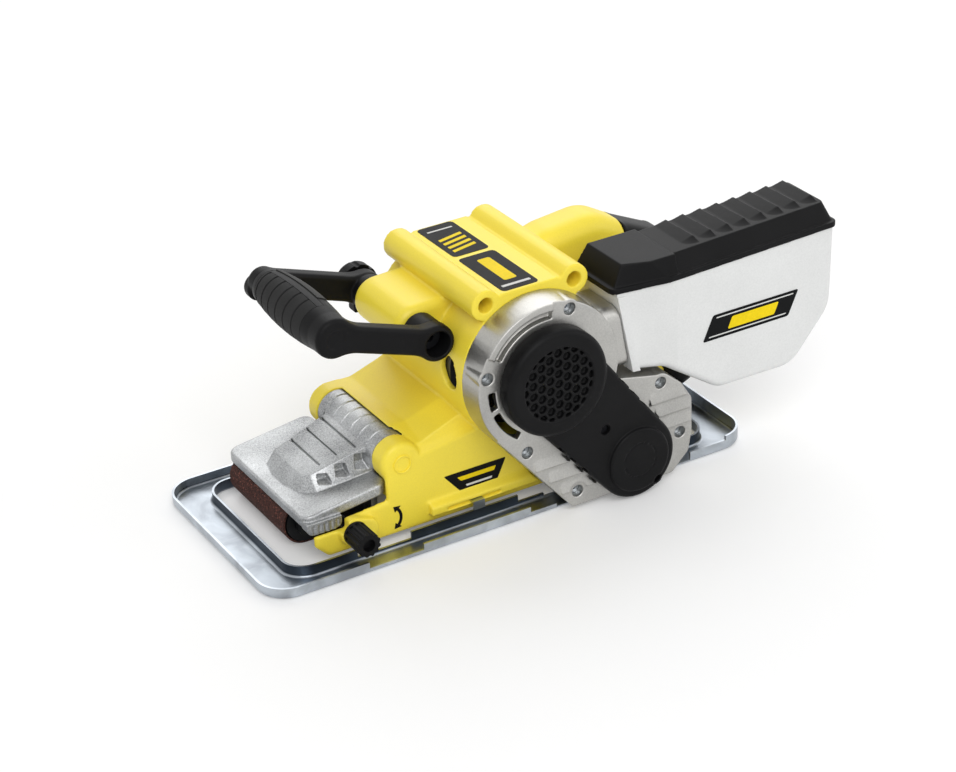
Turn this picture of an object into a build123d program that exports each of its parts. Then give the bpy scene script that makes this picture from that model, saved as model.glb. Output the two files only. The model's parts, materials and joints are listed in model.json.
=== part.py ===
from build123d import *
from math import atan, atan2, cos, degrees, hypot, pi, radians, sin
import os

# Belt sander. Millimetres, +X to the rear, -Y the drive side, +Z up.
# The sanding plane is z = 0, the belt's middle is y = 0, x = 0 lies between the rollers.

# Abrasive belt, a standard loop, and the two rollers that carry it
BELT_WIDTH = 76.0
BELT_LOOP = 533.0
BELT_THICKNESS = 1.2
RUN_GAP = 0.3
DRUM_R = 27.0
DRUM_X = 96.5
FRONT_AXLE_X = -103.0
AXLE_SPACING = DRUM_X - FRONT_AXLE_X
BELT_SEAT = RUN_GAP + BELT_THICKNESS
DRUM_Z = DRUM_R + BELT_SEAT
DRUM_BELT_R = DRUM_R + RUN_GAP + BELT_THICKNESS / 2
FRONT_BELT_R = (BELT_LOOP - 2 * AXLE_SPACING) / pi - DRUM_BELT_R - 0.3
ROLLER_R = FRONT_BELT_R - RUN_GAP - BELT_THICKNESS / 2
FRONT_AXLE_Z = ROLLER_R + BELT_SEAT
ROLLER_HALF = 39.0
CROWN = 0.5

# Sanding frame, a stamped tray round the belt
FRAME_X = (-154.8, 195.2)
FRAME_Y = (-93.7, 64.4)
FRAME_HOLE_X = (-131.0, 172.0)
FRAME_HOLE_Y = (-76.6, 46.5)
FRAME_SHEET = 1.5
FRAME_LIP = 8.0
FRAME_INNER_LIP = 9.0
FRAME_REAR_LIP = 11.0
FRAME_CORNER = 20.0
FRAME_HOLE_CORNER = 14.0
FRAME_LOW = 2.2
FRAME_BEND = 2.0

# Motor barrel, top tubes and the saddle between them
MOTOR_X = 39.1
MOTOR_Z = 100.2
BARREL_R = 51.0
BARREL_BORE = 47.0
BARREL_Y = (-83.0, 28.0)
BARREL_END = 8.0
TUBE_R = 10.0
TUBE_BORE = 5.0
TUBE_Z = 150.2
TUBE_XS = (7.7, 70.5)
SADDLE_Z = 155.0

# Base shell below the barrel
BASE_Y = (-70.0, 29.0)
WALL = 3.0
HINGE_X = -49.0
HINGE_Z = 53.0
EAR_R = 14.0
EAR_NEAR_Y = (-70.0, -55.0)
EAR_SOFT = 4.0
EAR_WEB = [(-61, 28), (-61, 53), (-42, 53), (-42, 28)]
EAR_WEB_SOFT = 2.4
EAR_FAR_Y = (17.5, 29.0)

# Front handle: pivot, arms and grip
PIVOT_X = -20.0
PIVOT_Z = 127.5
GRIP_X = -88.0
GRIP_Z = 151.0
LOBE_R = 15.0
LOBE_Y = (-46.0, 12.0)
ARM_NEAR_Y = (-72.0, -60.0)
ARM_FAR_Y = (18.0, 30.0)
EYE_R = 12.0
EYE_HOLE_R = 8.5
EYE_DEEP = 17.0
NEAR_KNUCKLE_R = 13.0
FAR_KNUCKLE_R = 9.5
ARM_HALF = 8.6
ARM_BEND = 25.0
ARM_SOFT = 3.2
KNUCKLE_DISH_R = 6.5
KNUCKLE_DISH_DEEP = 0.8
FAR_LUG = (-27.5, 115.5, 2.0)
END_CAP = (-90.0, 146.5, 8.5)
END_CAP_DEEP = 3.5
BOLT_R = 5.0
BOLT_END = 38.0
CLAMP_R = 13.4
CLAMP_END = 40.5

# Gear housing and drive cover
GEAR_NEAR = -102.0
GEAR_PLATE = 5.0
COVER_NEAR = -114.0
COVER_ARM_NEAR = -111.0
COVER_END_NEAR = -113.6
COVER_HEAD_R = 35.5
COVER_ARM_R = 30.5
COVER_END_R = 27.5
END_BOSS_R = 22.0
HONEY_R = 24.9
SCREW_R = 4.0

# Dust box and lid
BOX_Y = (-104.0, -50.0)
BOX_FRONT_Y = -97.0
BOX_TOP = 139.0
BOX_RISE = 0.03
BOX_WALL = 2.2
LID_GAP = 0.2
LID_TOP = 156.0
LID_RISE = 0.036
LID_FRONT_X = 134.0
PORT_Y = (-91.0, -62.0)
PORT_Z = (96.0, 122.0)
PORT_WALL = 2.5
NECK_TOP = (92.0, BOX_TOP)
NECK_FOOT = (101.0, 84.0)

# Rear handle
GRIP_Y = (-33.0, 3.0)
GRIP_MID_Y = (GRIP_Y[0] + GRIP_Y[1]) / 2

# Fits
SLIP = 0.05
CLEAR = 0.4


def block(x, y, z):
    """Box between low and high limits on each axis."""
    size = [high - low for low, high in (x, y, z)]
    middle = [(high + low) / 2 for low, high in (x, y, z)]
    return Pos(*middle) * Box(*size)


def disc(x, z, radius):
    return Pos(x, z) * Circle(radius)


def polygon(*points):
    return make_face(Polyline(*points, close=True))


def hull(*circles):
    """Outline stretched round circles given as x, z and radius."""
    edges = [edge for x, z, radius in circles for edge in disc(x, z, radius).edges()]
    return make_hull(edges)


def along_y(sketch, y):
    """Solid with a side outline, between two y limits."""
    return extrude(Plane.XZ.offset(-y[1]) * sketch, amount=y[1] - y[0])


def rod_y(x, z, radius, y):
    return Pos(x, (y[0] + y[1]) / 2, z) * Rot(90, 0, 0) * Cylinder(radius, y[1] - y[0])


def ring_y(x, z, outer, inner, y):
    return rod_y(x, z, outer, y) - rod_y(x, z, inner, (y[0] - 1, y[1] + 1))


def rod_x(y, z, radius, x):
    return Pos((x[0] + x[1]) / 2, y, z) * Rot(0, 90, 0) * Cylinder(radius, x[1] - x[0])


def rod_z(x, y, radius, z):
    return Pos(x, y, (z[0] + z[1]) / 2) * Cylinder(radius, z[1] - z[0])


def loop_y(front, rear, extra, y):
    """Band outline round two rollers, each given as x, z and radius, grown by extra."""
    return along_y(hull(*[(x, z, radius + extra) for x, z, radius in (front, rear)]), y)


def on_slope(points, start, slope):
    """Flat face with a plan outline, on a plane that rises along x from a start given as x and z."""
    return make_face(Polyline(*[(x, y, start[1] + slope * (x - start[0])) for x, y in points], close=True))


def end_edges(part, y):
    """Edges lying in the plane at one y."""
    return part.edges().filter_by_position(Axis.Y, y - 0.01, y + 0.01)


def soften(part, radius, *planes):
    """Round the outline edges of a solid at the given y planes."""
    edges = [edge for y in planes for edge in end_edges(part, y)]
    return fillet(edges, radius)


# Abrasive belt, rollers and what carries them

FRONT_ROLL = (FRONT_AXLE_X, FRONT_AXLE_Z, ROLLER_R + RUN_GAP)
REAR_ROLL = (DRUM_X, DRUM_Z, DRUM_R + RUN_GAP)
BELT_SPACE = BELT_THICKNESS + 1.2
YOKE_PIN_X = -75.0
CARRIAGE_R = 5.0
BEAM_X = (-58.0, 62.0)
BEAM_TOP = 24.0
PAD_Z = (BELT_SEAT + 0.1, BELT_SEAT + 1.6)
PLATEN_Z = (PAD_Z[1], PAD_Z[1] + 1.5)
CHASSIS_Y = (-46.0, -41.0)
SHAFT_R = 6.0
DRUM_BEARING_R = 14.0
CHASSIS_POSTS = [(-40, 22), (30, 28), (126, 46)]
KNOB_X = -87.5
KNOB_Z = 20.0
KNOB_R = 8.0
LEVER_X = -46.0
LEVER_Y = 27.0
LEVER_Z = (BEAM_TOP + CLEAR, BEAM_TOP + CLEAR + 3.0)


def abrasive_belt():
    half = BELT_WIDTH / 2
    outer = loop_y(FRONT_ROLL, REAR_ROLL, BELT_THICKNESS, (-half, half))
    return outer - loop_y(FRONT_ROLL, REAR_ROLL, 0, (-half - 1, half + 1))


def belt_space():
    """Room that the running belt needs, taken out of whatever lies round it."""
    half = BELT_WIDTH / 2 + 1.5
    return loop_y(FRONT_ROLL, REAR_ROLL, BELT_SPACE, (-half, half))


def crowned_roller(x, z, radius, half, bore):
    """Roller a little fatter in the middle, so that the belt stays centred."""
    side = [(bore, -half), (radius - CROWN, -half), (radius, -half / 3), (radius, half / 3),
            (radius - CROWN, half), (bore, half)]
    body = revolve(polygon(*side), Axis.Y)
    return Pos(x, 0, z) * body


def front_roller():
    return crowned_roller(FRONT_AXLE_X, FRONT_AXLE_Z, ROLLER_R, ROLLER_HALF, BOLT_R + SLIP)


def front_axle():
    return rod_y(FRONT_AXLE_X, FRONT_AXLE_Z, BOLT_R, (-44.5, 44.5))


def yoke():
    """Fork that holds the front axle, with lugs round the carriage head."""
    z = (FRONT_AXLE_Z - 7.5, FRONT_AXLE_Z + 7.5)
    part = block((-86, -82), (-44.5, 44.5), z)
    for y in ((-44.5, -40.0), (40.0, 44.5)):
        part += block((-103, -82), y, z) + rod_y(FRONT_AXLE_X, FRONT_AXLE_Z, 7.5, y)
    for low in (FRONT_AXLE_Z - 7.5, FRONT_AXLE_Z + 4.9):
        part += block((-82, -71), (-6, 6), (low, low + 2.6))
    part -= rod_y(FRONT_AXLE_X, FRONT_AXLE_Z, BOLT_R, (-50, 50))
    return part - rod_z(YOKE_PIN_X, 0, 2.5, (0, 40))


def yoke_pin():
    return rod_z(YOKE_PIN_X, 0, 2.5, (FRONT_AXLE_Z - 7.5, FRONT_AXLE_Z + 7.5))


def tension_carriage():
    """Sliding rod whose flat head carries the yoke."""
    head = block((-80.5, -69), (-5.5, 5.5), (FRONT_AXLE_Z - 4.5, FRONT_AXLE_Z + 4.5))
    rod = rod_x(0, FRONT_AXLE_Z, CARRIAGE_R - SLIP, (-69.5, -24))
    return head + rod - rod_z(YOKE_PIN_X, 0, 2.5 + SLIP, (0, 40))


SPRING_WIRE = 0.9
SPRING_MEAN_R = 7.0
SPRING_X = (-43.5, -14.0)
SPRING_TURNS = 6
WASHER_R = 8.0
WASHER_THICKNESS = 2.5


def tension_spring():
    """Compression spring on the carriage rod, one unbroken wire."""
    length = SPRING_X[1] - SPRING_X[0] - 2 * SPRING_WIRE
    pitch = length / SPRING_TURNS
    print("tension spring: least gap between turns", round(pitch - 2 * SPRING_WIRE, 2), "mm")
    helix = Helix(pitch, length, SPRING_MEAN_R)
    wire = sweep(Plane(helix @ 0, z_dir=helix % 0) * Circle(SPRING_WIRE), path=helix)
    return Pos(SPRING_X[0] + SPRING_WIRE, 0, FRONT_AXLE_Z) * Rot(0, 90, 0) * wire


def spring_washer():
    """Washer fixed on the carriage rod, where the spring pushes it forward."""
    x = (SPRING_X[0] - WASHER_THICKNESS, SPRING_X[0])
    bore = rod_x(0, FRONT_AXLE_Z, CARRIAGE_R - SLIP, (x[0] - 1, x[1] + 1))
    return rod_x(0, FRONT_AXLE_Z, WASHER_R, x) - bore


def tension_lever():
    """Flat lever with a cam nose; its free end swings out to let the belt off."""
    bar = hull((LEVER_X, -LEVER_Y, 8), (8, -32, 5))
    plate = extrude(Plane.XY.offset(LEVER_Z[0]) * mirror(bar, Plane.XZ), amount=LEVER_Z[1] - LEVER_Z[0])
    tab = block((-2, 12), (36.5, 46), (LEVER_Z[0], LEVER_Z[1]))
    tab = fillet(tab.edges().filter_by(Axis.Z), 2.5)
    return plate + tab - rod_z(LEVER_X, LEVER_Y, 3 + SLIP, (0, 60))


def lever_pin():
    stem = rod_z(LEVER_X, LEVER_Y, 3, (BEAM_TOP - 8, LEVER_Z[1] + CLEAR))
    return stem + rod_z(LEVER_X, LEVER_Y, 6, (LEVER_Z[1] + CLEAR, LEVER_Z[1] + 2.5))


def chassis():
    """Cast side plate with the hollow beam that carries the platen inside the belt."""
    side = polygon((-56, 6), (136, 6), (136, 58), (90, 58), (30, 44), (-30, 44), (-56, 30))
    plate = along_y(fillet(side.vertices(), 5), CHASSIS_Y)
    for x, z in CHASSIS_POSTS:
        plate += rod_y(x, z, 6, (BASE_Y[0] + WALL, CHASSIS_Y[0]))
    beam = block(BEAM_X, (CHASSIS_Y[1], 36), (PLATEN_Z[1], BEAM_TOP))
    rim = 4.0
    floor = PLATEN_Z[1] + 2
    hollow_y = (CHASSIS_Y[1] + rim, LEVER_Y - 12)
    for hollow_x in ((BEAM_X[0] + 9, SPRING_X[1]), (SPRING_X[1] + rim, BEAM_X[1] - rim)):
        beam -= block(hollow_x, hollow_y, (floor, BEAM_TOP + 1))
    beam -= rod_x(0, FRONT_AXLE_Z, CARRIAGE_R, (BEAM_X[0] - 1, BEAM_X[0] + 10))
    plate += beam
    plate -= rod_z(LEVER_X, LEVER_Y, 3, (BEAM_TOP - 8, BEAM_TOP + 1))
    return plate - rod_y(DRUM_X, DRUM_Z, DRUM_BEARING_R, (-60, -40))


def platen():
    return block((-72, 64), (-36, 36), PLATEN_Z)


def platen_pad():
    return block((-74, 66), (-37, 37), PAD_Z)


def drum_core():
    return ring_y(DRUM_X, DRUM_Z, DRUM_R - 5, SHAFT_R, (-37.5, 37.5))


def drum_tyre():
    """Rubber sleeve on the drum, crowned to hold the belt on its middle."""
    return crowned_roller(DRUM_X, DRUM_Z, DRUM_R, 37.5, DRUM_R - 5)


def drum_shaft():
    return rod_y(DRUM_X, DRUM_Z, SHAFT_R, (PULLEY_Y[0], 39.5))


def bearing(x, z, outer, bore, y):
    """Shielded ball bearing: outer and inner rings with a thinner shield between."""
    race = (outer - bore) * 0.3
    shield = (y[0] + 0.8, y[1] - 0.8)
    part = ring_y(x, z, outer, outer - race, y) + ring_y(x, z, bore + race, bore, y)
    return part + ring_y(x, z, outer - race, bore + race, shield)


DRUM_BEARINGS_Y = ((-101.0, -93.0), (-46.0, -39.5))


def drum_bearings():
    parts = [bearing(DRUM_X, DRUM_Z, DRUM_BEARING_R, SHAFT_R + SLIP, y) for y in DRUM_BEARINGS_Y]
    return Compound(children=[part.solid() for part in parts])


def tracking_knob():
    """Knurled knob whose screw leans on the yoke and steers the belt."""
    head = rod_y(KNOB_X, KNOB_Z, KNOB_R, (-94, -76))
    flutes = 12
    reach = KNOB_R + 0.6
    for index in range(flutes):
        turn = radians(360 / flutes * index)
        head -= rod_y(KNOB_X + reach * cos(turn), KNOB_Z + reach * sin(turn), 1.5, (-95, -78))
    head -= rod_y(KNOB_X, KNOB_Z, 4.2, (-95, -90))
    return head + rod_y(KNOB_X, KNOB_Z, 3, (-76, -45))


# Motor and belt drive

SHAFT_END_R = 4.0
PULLEY_R = 5.0
DRIVEN_R = 14.5
PULLEY_Y = (-108.4, -102.8)
FAN_R = 37.0
FAN_Y = (-92.4, -85.0)
CORE_Y = (-58.0, -12.0)
STATOR_Y = (-62.0, -8.0)
COMMUTATOR_Y = (-4.0, 11.0)
FAR_BEARING_Y = (14.5, 21.5)
NEAR_BEARING_Y = (-101.0, -93.0)
FAR_BEARING_R = 11.0


def armature():
    """Shaft, slotted core and the winding's end domes."""
    part = rod_y(MOTOR_X, MOTOR_Z, SHAFT_END_R, (PULLEY_Y[0], 24))
    part += rod_y(MOTOR_X, MOTOR_Z, SHAFT_END_R + 3, (-84, COMMUTATOR_Y[0]))
    core = rod_y(MOTOR_X, MOTOR_Z, 25, CORE_Y)
    slots = 12
    for index in range(slots):
        turn = radians(360 / slots * index)
        x, z = MOTOR_X + 24 * cos(turn), MOTOR_Z + 24 * sin(turn)
        core -= rod_y(x, z, 1.8, (CORE_Y[0] - 1, CORE_Y[1] + 1))
    part += core
    for y in ((CORE_Y[0] - 9, CORE_Y[0]), (CORE_Y[1], COMMUTATOR_Y[0])):
        part += rod_y(MOTOR_X, MOTOR_Z, 18, y)
    return part


def commutator():
    part = ring_y(MOTOR_X, MOTOR_Z, 12, SHAFT_END_R, COMMUTATOR_Y)
    bars = 24
    gap = Pos(12, 0, 0) * Box(1.2, 20, 0.5)
    for index in range(bars):
        part -= Pos(MOTOR_X, sum(COMMUTATOR_Y) / 2, MOTOR_Z) * Rot(0, 360 / bars * index, 0) * gap
    return part


def cooling_fan():
    """Radial fan: back plate, hub and straight blades."""
    part = rod_y(MOTOR_X, MOTOR_Z, FAN_R, (FAN_Y[0], FAN_Y[0] + 2)) + rod_y(MOTOR_X, MOTOR_Z, 12, FAN_Y)
    blades = 14
    for index in range(blades):
        turn = 360 / blades * index
        blade = Pos((FAN_R + 10) / 2, 0, 0) * Box(FAN_R - 10.5, FAN_Y[1] - FAN_Y[0], 1.8)
        part += Pos(MOTOR_X, sum(FAN_Y) / 2, MOTOR_Z) * Rot(0, turn, 0) * blade
    return part - rod_y(MOTOR_X, MOTOR_Z, SHAFT_END_R, (-120, -60))


def stator():
    """Laminated field ring with two poles, flat where the coils sit."""
    part = ring_y(MOTOR_X, MOTOR_Z, BARREL_BORE - SLIP, 38, STATOR_Y)
    for side in (-1, 1):
        z = MOTOR_Z + side * 33
        part += block((MOTOR_X - 20, MOTOR_X + 20), STATOR_Y, (z - 8, z + 8))
    return part - rod_y(MOTOR_X, MOTOR_Z, 26, (STATOR_Y[0] - 1, STATOR_Y[1] + 1))


BRUSH_Y = sum(COMMUTATOR_Y) / 2


def brush_holders():
    parts = []
    for side in (-1, 1):
        x = sorted((MOTOR_X + side * 18, MOTOR_X + side * 43))
        tube = block(x, (BRUSH_Y - 5.5, BRUSH_Y + 5.5), (MOTOR_Z - 4.5, MOTOR_Z + 4.5))
        tube -= block((x[0] - 1, x[1] + 1), (BRUSH_Y - 4, BRUSH_Y + 4), (MOTOR_Z - 3, MOTOR_Z + 3))
        parts.append(tube.solid())
    return Compound(children=parts)


def carbon_brushes():
    parts = []
    for side in (-1, 1):
        x = sorted((MOTOR_X + side * 12.6, MOTOR_X + side * 34))
        brush = block(x, (BRUSH_Y - 3.9, BRUSH_Y + 3.9), (MOTOR_Z - 2.9, MOTOR_Z + 2.9))
        parts.append(brush.solid())
    return Compound(children=parts)


def motor_bearings():
    near = bearing(MOTOR_X, MOTOR_Z, FAR_BEARING_R, SHAFT_END_R + SLIP, NEAR_BEARING_Y)
    far = bearing(MOTOR_X, MOTOR_Z, FAR_BEARING_R, SHAFT_END_R + SLIP, FAR_BEARING_Y)
    return Compound(children=[near.solid(), far.solid()])


def toothed_pulley(x, z, radius, bore, teeth):
    part = rod_y(x, z, radius, PULLEY_Y)
    for index in range(teeth):
        turn = radians(360 / teeth * index)
        part -= rod_y(x + radius * cos(turn), z + radius * sin(turn), 0.6, (PULLEY_Y[0] - 1, PULLEY_Y[1] + 1))
    return part - rod_y(x, z, bore, (PULLEY_Y[0] - 1, PULLEY_Y[1] + 1))


def drive_pulley():
    return toothed_pulley(MOTOR_X, MOTOR_Z, PULLEY_R, SHAFT_END_R, 12)


def driven_pulley():
    return toothed_pulley(DRUM_X, DRUM_Z, DRIVEN_R, SHAFT_R, 48)


def drive_belt():
    small = (MOTOR_X, MOTOR_Z, PULLEY_R + RUN_GAP)
    large = (DRUM_X, DRUM_Z, DRIVEN_R + RUN_GAP)
    outer = loop_y(small, large, 1.6, (PULLEY_Y[0] + 0.5, PULLEY_Y[1] - 0.5))
    return outer - loop_y(small, large, 0, (PULLEY_Y[0] - 1, PULLEY_Y[1] + 1))


# Housings

SIDE = [(-112, 14), (-103, 5), (140, 5), (140, 62), (128, 74), (90, 86), (39, 90), (5, 81), (-12, 74),
        (-33, 67), (-49, 67), (-55, 58), (-54, 31), (-108, 26), (-112, 23)]
TUNNEL = [(-150, -10), (-150, 42), (-34, 42), (0, 49), (118, 63), (131, 56), (131, -10)]
LOBE_ROOT = (14, 122, 22)
SHOULDER_ROOF = [(-75, 67), (-33, 67), (-12, 74), (5, 81), (30, 92)]
SHOULDER_Y = (-45.0, -75.0)
SHOULDER_DROP = 7.7
BEVEL_START = (-39.0, 54.1)
BEVEL_SLOPE = 0.15
BEVEL_SECTION = [(-72, -2.4), (-66.5, 4.2), (-65, 9), (-65, 60), (-72, 60)]
HANDLE_BACK = 142.0
HANDLE_TOP = [(66, 118), (66, 150), (88, 156.5), (122, 160), (HANDLE_BACK, 148.5), (HANDLE_BACK, 123),
              (118, 127), (92, 116)]
HANDLE_BENDS = [(88, 20), (122, 25)]
HANDLE_CROWN_Z = 146.0
HANDLE_CROWN_R = 13.0
HANDLE_FOOT = [(132, 15), (168, 15), (171, 36), (160, 45), (132, 60)]
LEDGE_X = (-33.0, 60.0)
LEDGE_SECTION = [(-69, 20.6), (-70.5, 20.6), (-75, 17.6), (-75, 11.8), (-69, 11.8)]
SLIT_X = (-22.0, 17.0)
SLIT_Z = (13.0, 15.3)
FINGER_X = (-116.0, -92.0)
FINGER_Z = (22.5, 31.0)
OVAL_MID = (-66.5, 103.2)
OVAL_LENGTH = 21.0
OVAL_WIDTH = 17.0
OVAL_LEAN = 27.0


def shoulder_cut(trim):
    """What the roof loses on the near side: its slope to the wall, and the bevel along the wall's top."""
    slopes = []
    for y, drop in zip(SHOULDER_Y, (0, SHOULDER_DROP)):
        roof = [(x, z - drop - trim) for x, z in SHOULDER_ROOF]
        slopes.append(Plane.XZ.offset(-y) * polygon(*roof, (roof[-1][0], 120), (roof[0][0], 120)))
    bevels = []
    for x in (SHOULDER_ROOF[0][0], SHOULDER_ROOF[-1][0]):
        start = BEVEL_START[1] + BEVEL_SLOPE * (x - BEVEL_START[0])
        section = polygon(*[(y + trim, start + z - trim / 2) for y, z in BEVEL_SECTION])
        bevels.append(Plane.YZ.offset(x) * section)
    return loft(slopes, ruled=True) + loft(bevels, ruled=True)


def base_shell():
    """Open bottomed lower shell: near wall, roof over the belt and rear wall."""
    outline = fillet(polygon(*SIDE).vertices(), 4)
    part = soften(along_y(outline, BASE_Y), 3, *BASE_Y) - shoulder_cut(0)
    inside = along_y(offset(outline, -WALL), (BASE_Y[0] + WALL, BASE_Y[1] - WALL))
    part -= inside - shoulder_cut(WALL)
    part -= along_y(polygon(*TUNNEL), (CHASSIS_Y[0], BASE_Y[1] + 5))
    part -= block((-140, 180), (BASE_Y[0] + WALL, BASE_Y[1] + 5), (-5, 9))
    return part


def hinge_ears():
    """Near ear, level with the wall and the web under it, and the far ear."""
    ears = soften(rod_y(HINGE_X, HINGE_Z, EAR_R, EAR_NEAR_Y), EAR_SOFT, EAR_NEAR_Y[0])
    web = along_y(polygon(*EAR_WEB), (BASE_Y[0], BASE_Y[0] + WALL))
    ears += soften(web, EAR_WEB_SOFT, BASE_Y[0])
    ears += along_y(hull((HINGE_X, HINGE_Z, EAR_R), (-28, 56, 10)), EAR_FAR_Y)
    return ears


def clip_ledge():
    """Rail along the near wall, with the slit that takes the frame's tab, ending at the gear housing."""
    rail = extrude(Plane.YZ.offset(LEDGE_X[0]) * polygon(*LEDGE_SECTION), amount=LEDGE_X[1] - LEDGE_X[0])
    rail -= block(SLIT_X, (-76, -71.5), SLIT_Z)
    return rail - along_y(offset(polygon(*LEG), CLEAR), (GEAR_NEAR, BASE_Y[0]))


def base_housing():
    """Yellow lower housing: shell, hinge ears, clip ledge, steering boss and the foot of the rear grip."""
    part = base_shell() + hinge_ears()
    part -= rod_y(HINGE_X, HINGE_Z, BARREL_OUT + 0.8, (EAR_NEAR_Y[1], EAR_FAR_Y[0]))
    part += soften(along_y(fillet(polygon(*HANDLE_FOOT).vertices(), 5), GRIP_Y), 4, *GRIP_Y)
    part += clip_ledge()
    part += along_y(hull((KNOB_X, KNOB_Z, KNOB_R + 1), (-78, 18.5, 7.5)), (-75.4, BASE_Y[0] + 1))
    part -= rod_y(HINGE_X, HINGE_Z, 3, (EAR_NEAR_Y[0] + 4, EAR_FAR_Y[1] - 2))
    part -= ring_y(HINGE_X, HINGE_Z, 6.4, 5.2, (EAR_NEAR_Y[0] - 1, EAR_NEAR_Y[0] + 0.8))
    part -= rod_y(KNOB_X, KNOB_Z, 3 + SLIP, (-80, -40))
    part -= block((-125, -57), (-52, -40), (-5, 45))
    part -= block((-125, -57), (BASE_Y[0] + WALL, -50), (-5, 38))
    part -= block((FINGER_X[0] - 3, FINGER_X[1] + 1.5), (-75, -58), (FINGER_Z[0] - 1, 45))
    part -= rod_y(DRUM_X, DRUM_Z, DRUM_BEARING_R + 4, (-75, -45))
    part -= rod_y(MOTOR_X, MOTOR_Z, BARREL_R, (BARREL_Y[0] - 1, BASE_Y[1] + 1))
    return part - belt_space()


def handle_lobe():
    """Yellow front half of the rear handle, rounded along its crown."""
    outline = polygon(*HANDLE_TOP)
    for x, radius in HANDLE_BENDS:
        outline = fillet(outline.vertices().filter_by_position(Axis.X, x - 1, x + 1), radius)
    part = along_y(outline, GRIP_Y)
    crown = [edge for y in GRIP_Y for edge in end_edges(part, y) if edge.center().Z > HANDLE_CROWN_Z]
    return fillet(crown, HANDLE_CROWN_R)


def motor_housing():
    """Yellow barrel: saddle with its tubes, front handle lobe, rear handle lobe and bearing seat."""
    section = disc(MOTOR_X, MOTOR_Z, BARREL_R)
    section += polygon((TUBE_XS[0], MOTOR_Z), (TUBE_XS[1], MOTOR_Z), (TUBE_XS[1], TUBE_Z),
                       (TUBE_XS[1] - 12, SADDLE_Z), (TUBE_XS[0] + 12, SADDLE_Z), (TUBE_XS[0], TUBE_Z))
    for x in TUBE_XS:
        section += disc(x, TUBE_Z, TUBE_R)
    part = along_y(section, BARREL_Y)
    part += soften(along_y(hull((PIVOT_X, PIVOT_Z, LOBE_R), LOBE_ROOT), LOBE_Y), 6, *LOBE_Y)
    part += handle_lobe()
    part -= rod_y(MOTOR_X, MOTOR_Z, BARREL_BORE, (BARREL_Y[0] - 1, BARREL_Y[1] - BARREL_END))
    part += rod_y(MOTOR_X, MOTOR_Z, FAR_BEARING_R + 3, (FAR_BEARING_Y[0], BARREL_Y[1] - 1))
    part -= rod_y(MOTOR_X, MOTOR_Z, FAR_BEARING_R, FAR_BEARING_Y)
    part -= rod_y(MOTOR_X, MOTOR_Z, SHAFT_END_R + 1.5, (FAR_BEARING_Y[1] - 1, BARREL_Y[1] - 3))
    for x in TUBE_XS:
        part -= rod_y(x, TUBE_Z, TUBE_BORE, (BARREL_Y[0] - 1, BARREL_Y[1] + 1))
    part -= rod_y(PIVOT_X, PIVOT_Z, BOLT_R, (LOBE_Y[0] - 1, LOBE_Y[1] + 1))
    oval = Pos(MOTOR_X - BARREL_R, *OVAL_MID) * Rot(0, 90, 0) * Rot(0, 0, -OVAL_LEAN)
    part -= oval * extrude(SlotOverall(OVAL_LENGTH, OVAL_WIDTH), amount=12, both=True)
    vents = 10
    for index in range(vents):
        turn = radians(360 / vents * index)
        x, z = MOTOR_X + 32 * cos(turn), MOTOR_Z + 32 * sin(turn)
        part -= rod_y(x, z, 4, (BARREL_Y[1] - BARREL_END - 1, BARREL_Y[1] + 1))
    part -= rod_y(DIAL_X, DIAL_Z, 3 + SLIP, (GRIP_Y[1] - 8, GRIP_Y[1] + 1))
    return part - belt_space()


LEG = [(MOTOR_X, MOTOR_Z), (0.4, 67), (53, 3.5), (128, 3.5), (141, 16), (143.6, 30), (143.6, 54), (136, 66.5),
       (125, 76), (108, 79.5), (88, 84)]
LEG_RIBS = [(112, 141, 62), (116, 142, 52), (120, 143, 42), (26, 56, 42), (36, 62, 31), (44, 70, 20)]
RIB_TILT = -12
GEAR_SCREWS = [(-4.2, 111.7), (55, 142.1), (21.5, 52.8), (56.8, 13.8), (120.3, 71.1), (134.4, 31.3)]
GEAR_BOSS_R = 6.5
GEAR_SCREW_SEAT = GEAR_NEAR + 9
ARCH_R = (39.2, 45.0, 49.8)
ARCH_TURN = (85.5, 149)
ARCH_DEEP = 4.2
VENT_R = (38.3, 43.0)
VENT_TURNS = [(178, 195.5), (200.5, 236)]


def sector(start, end):
    """Wedge about the motor axis, between two angles in degrees."""
    reach = 90
    turns = [radians(turn) for turn in (start, (start + end) / 2, end)]
    corners = [(reach * cos(turn), reach * sin(turn)) for turn in turns]
    return Pos(MOTOR_X, MOTOR_Z) * polygon((0, 0), *corners)


def arc_band(inner, outer, start, end):
    """Curved band outline round the motor axis, between two radii and two angles."""
    ring = disc(MOTOR_X, MOTOR_Z, outer) - disc(MOTOR_X, MOTOR_Z, inner)
    return ring & sector(start, end)


def spigot(start, trim):
    """Rounded block along the dust path, as large as the port or less."""
    y = (PORT_Y[0] + trim, PORT_Y[1] - trim)
    part = block((start, 104 + trim), y, (PORT_Z[0] + trim, PORT_Z[1] - trim))
    return fillet(part.edges().filter_by(Axis.X), 9 - trim)


def dust_port():
    """Fairing beside the fan ring that ends at the box's slanted mouth, with the spigot for the box."""
    gap = 0.8
    fairing = polygon((66, 130), (NECK_TOP[0] + 1.6 - gap, 130), (NECK_FOOT[0] - 0.5 - gap, 87), (70, 87))
    part = along_y(fairing, (-98, -58))
    part = fillet(part.edges().filter_by(Axis.X), 8)
    return part + spigot(80, 0)


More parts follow.
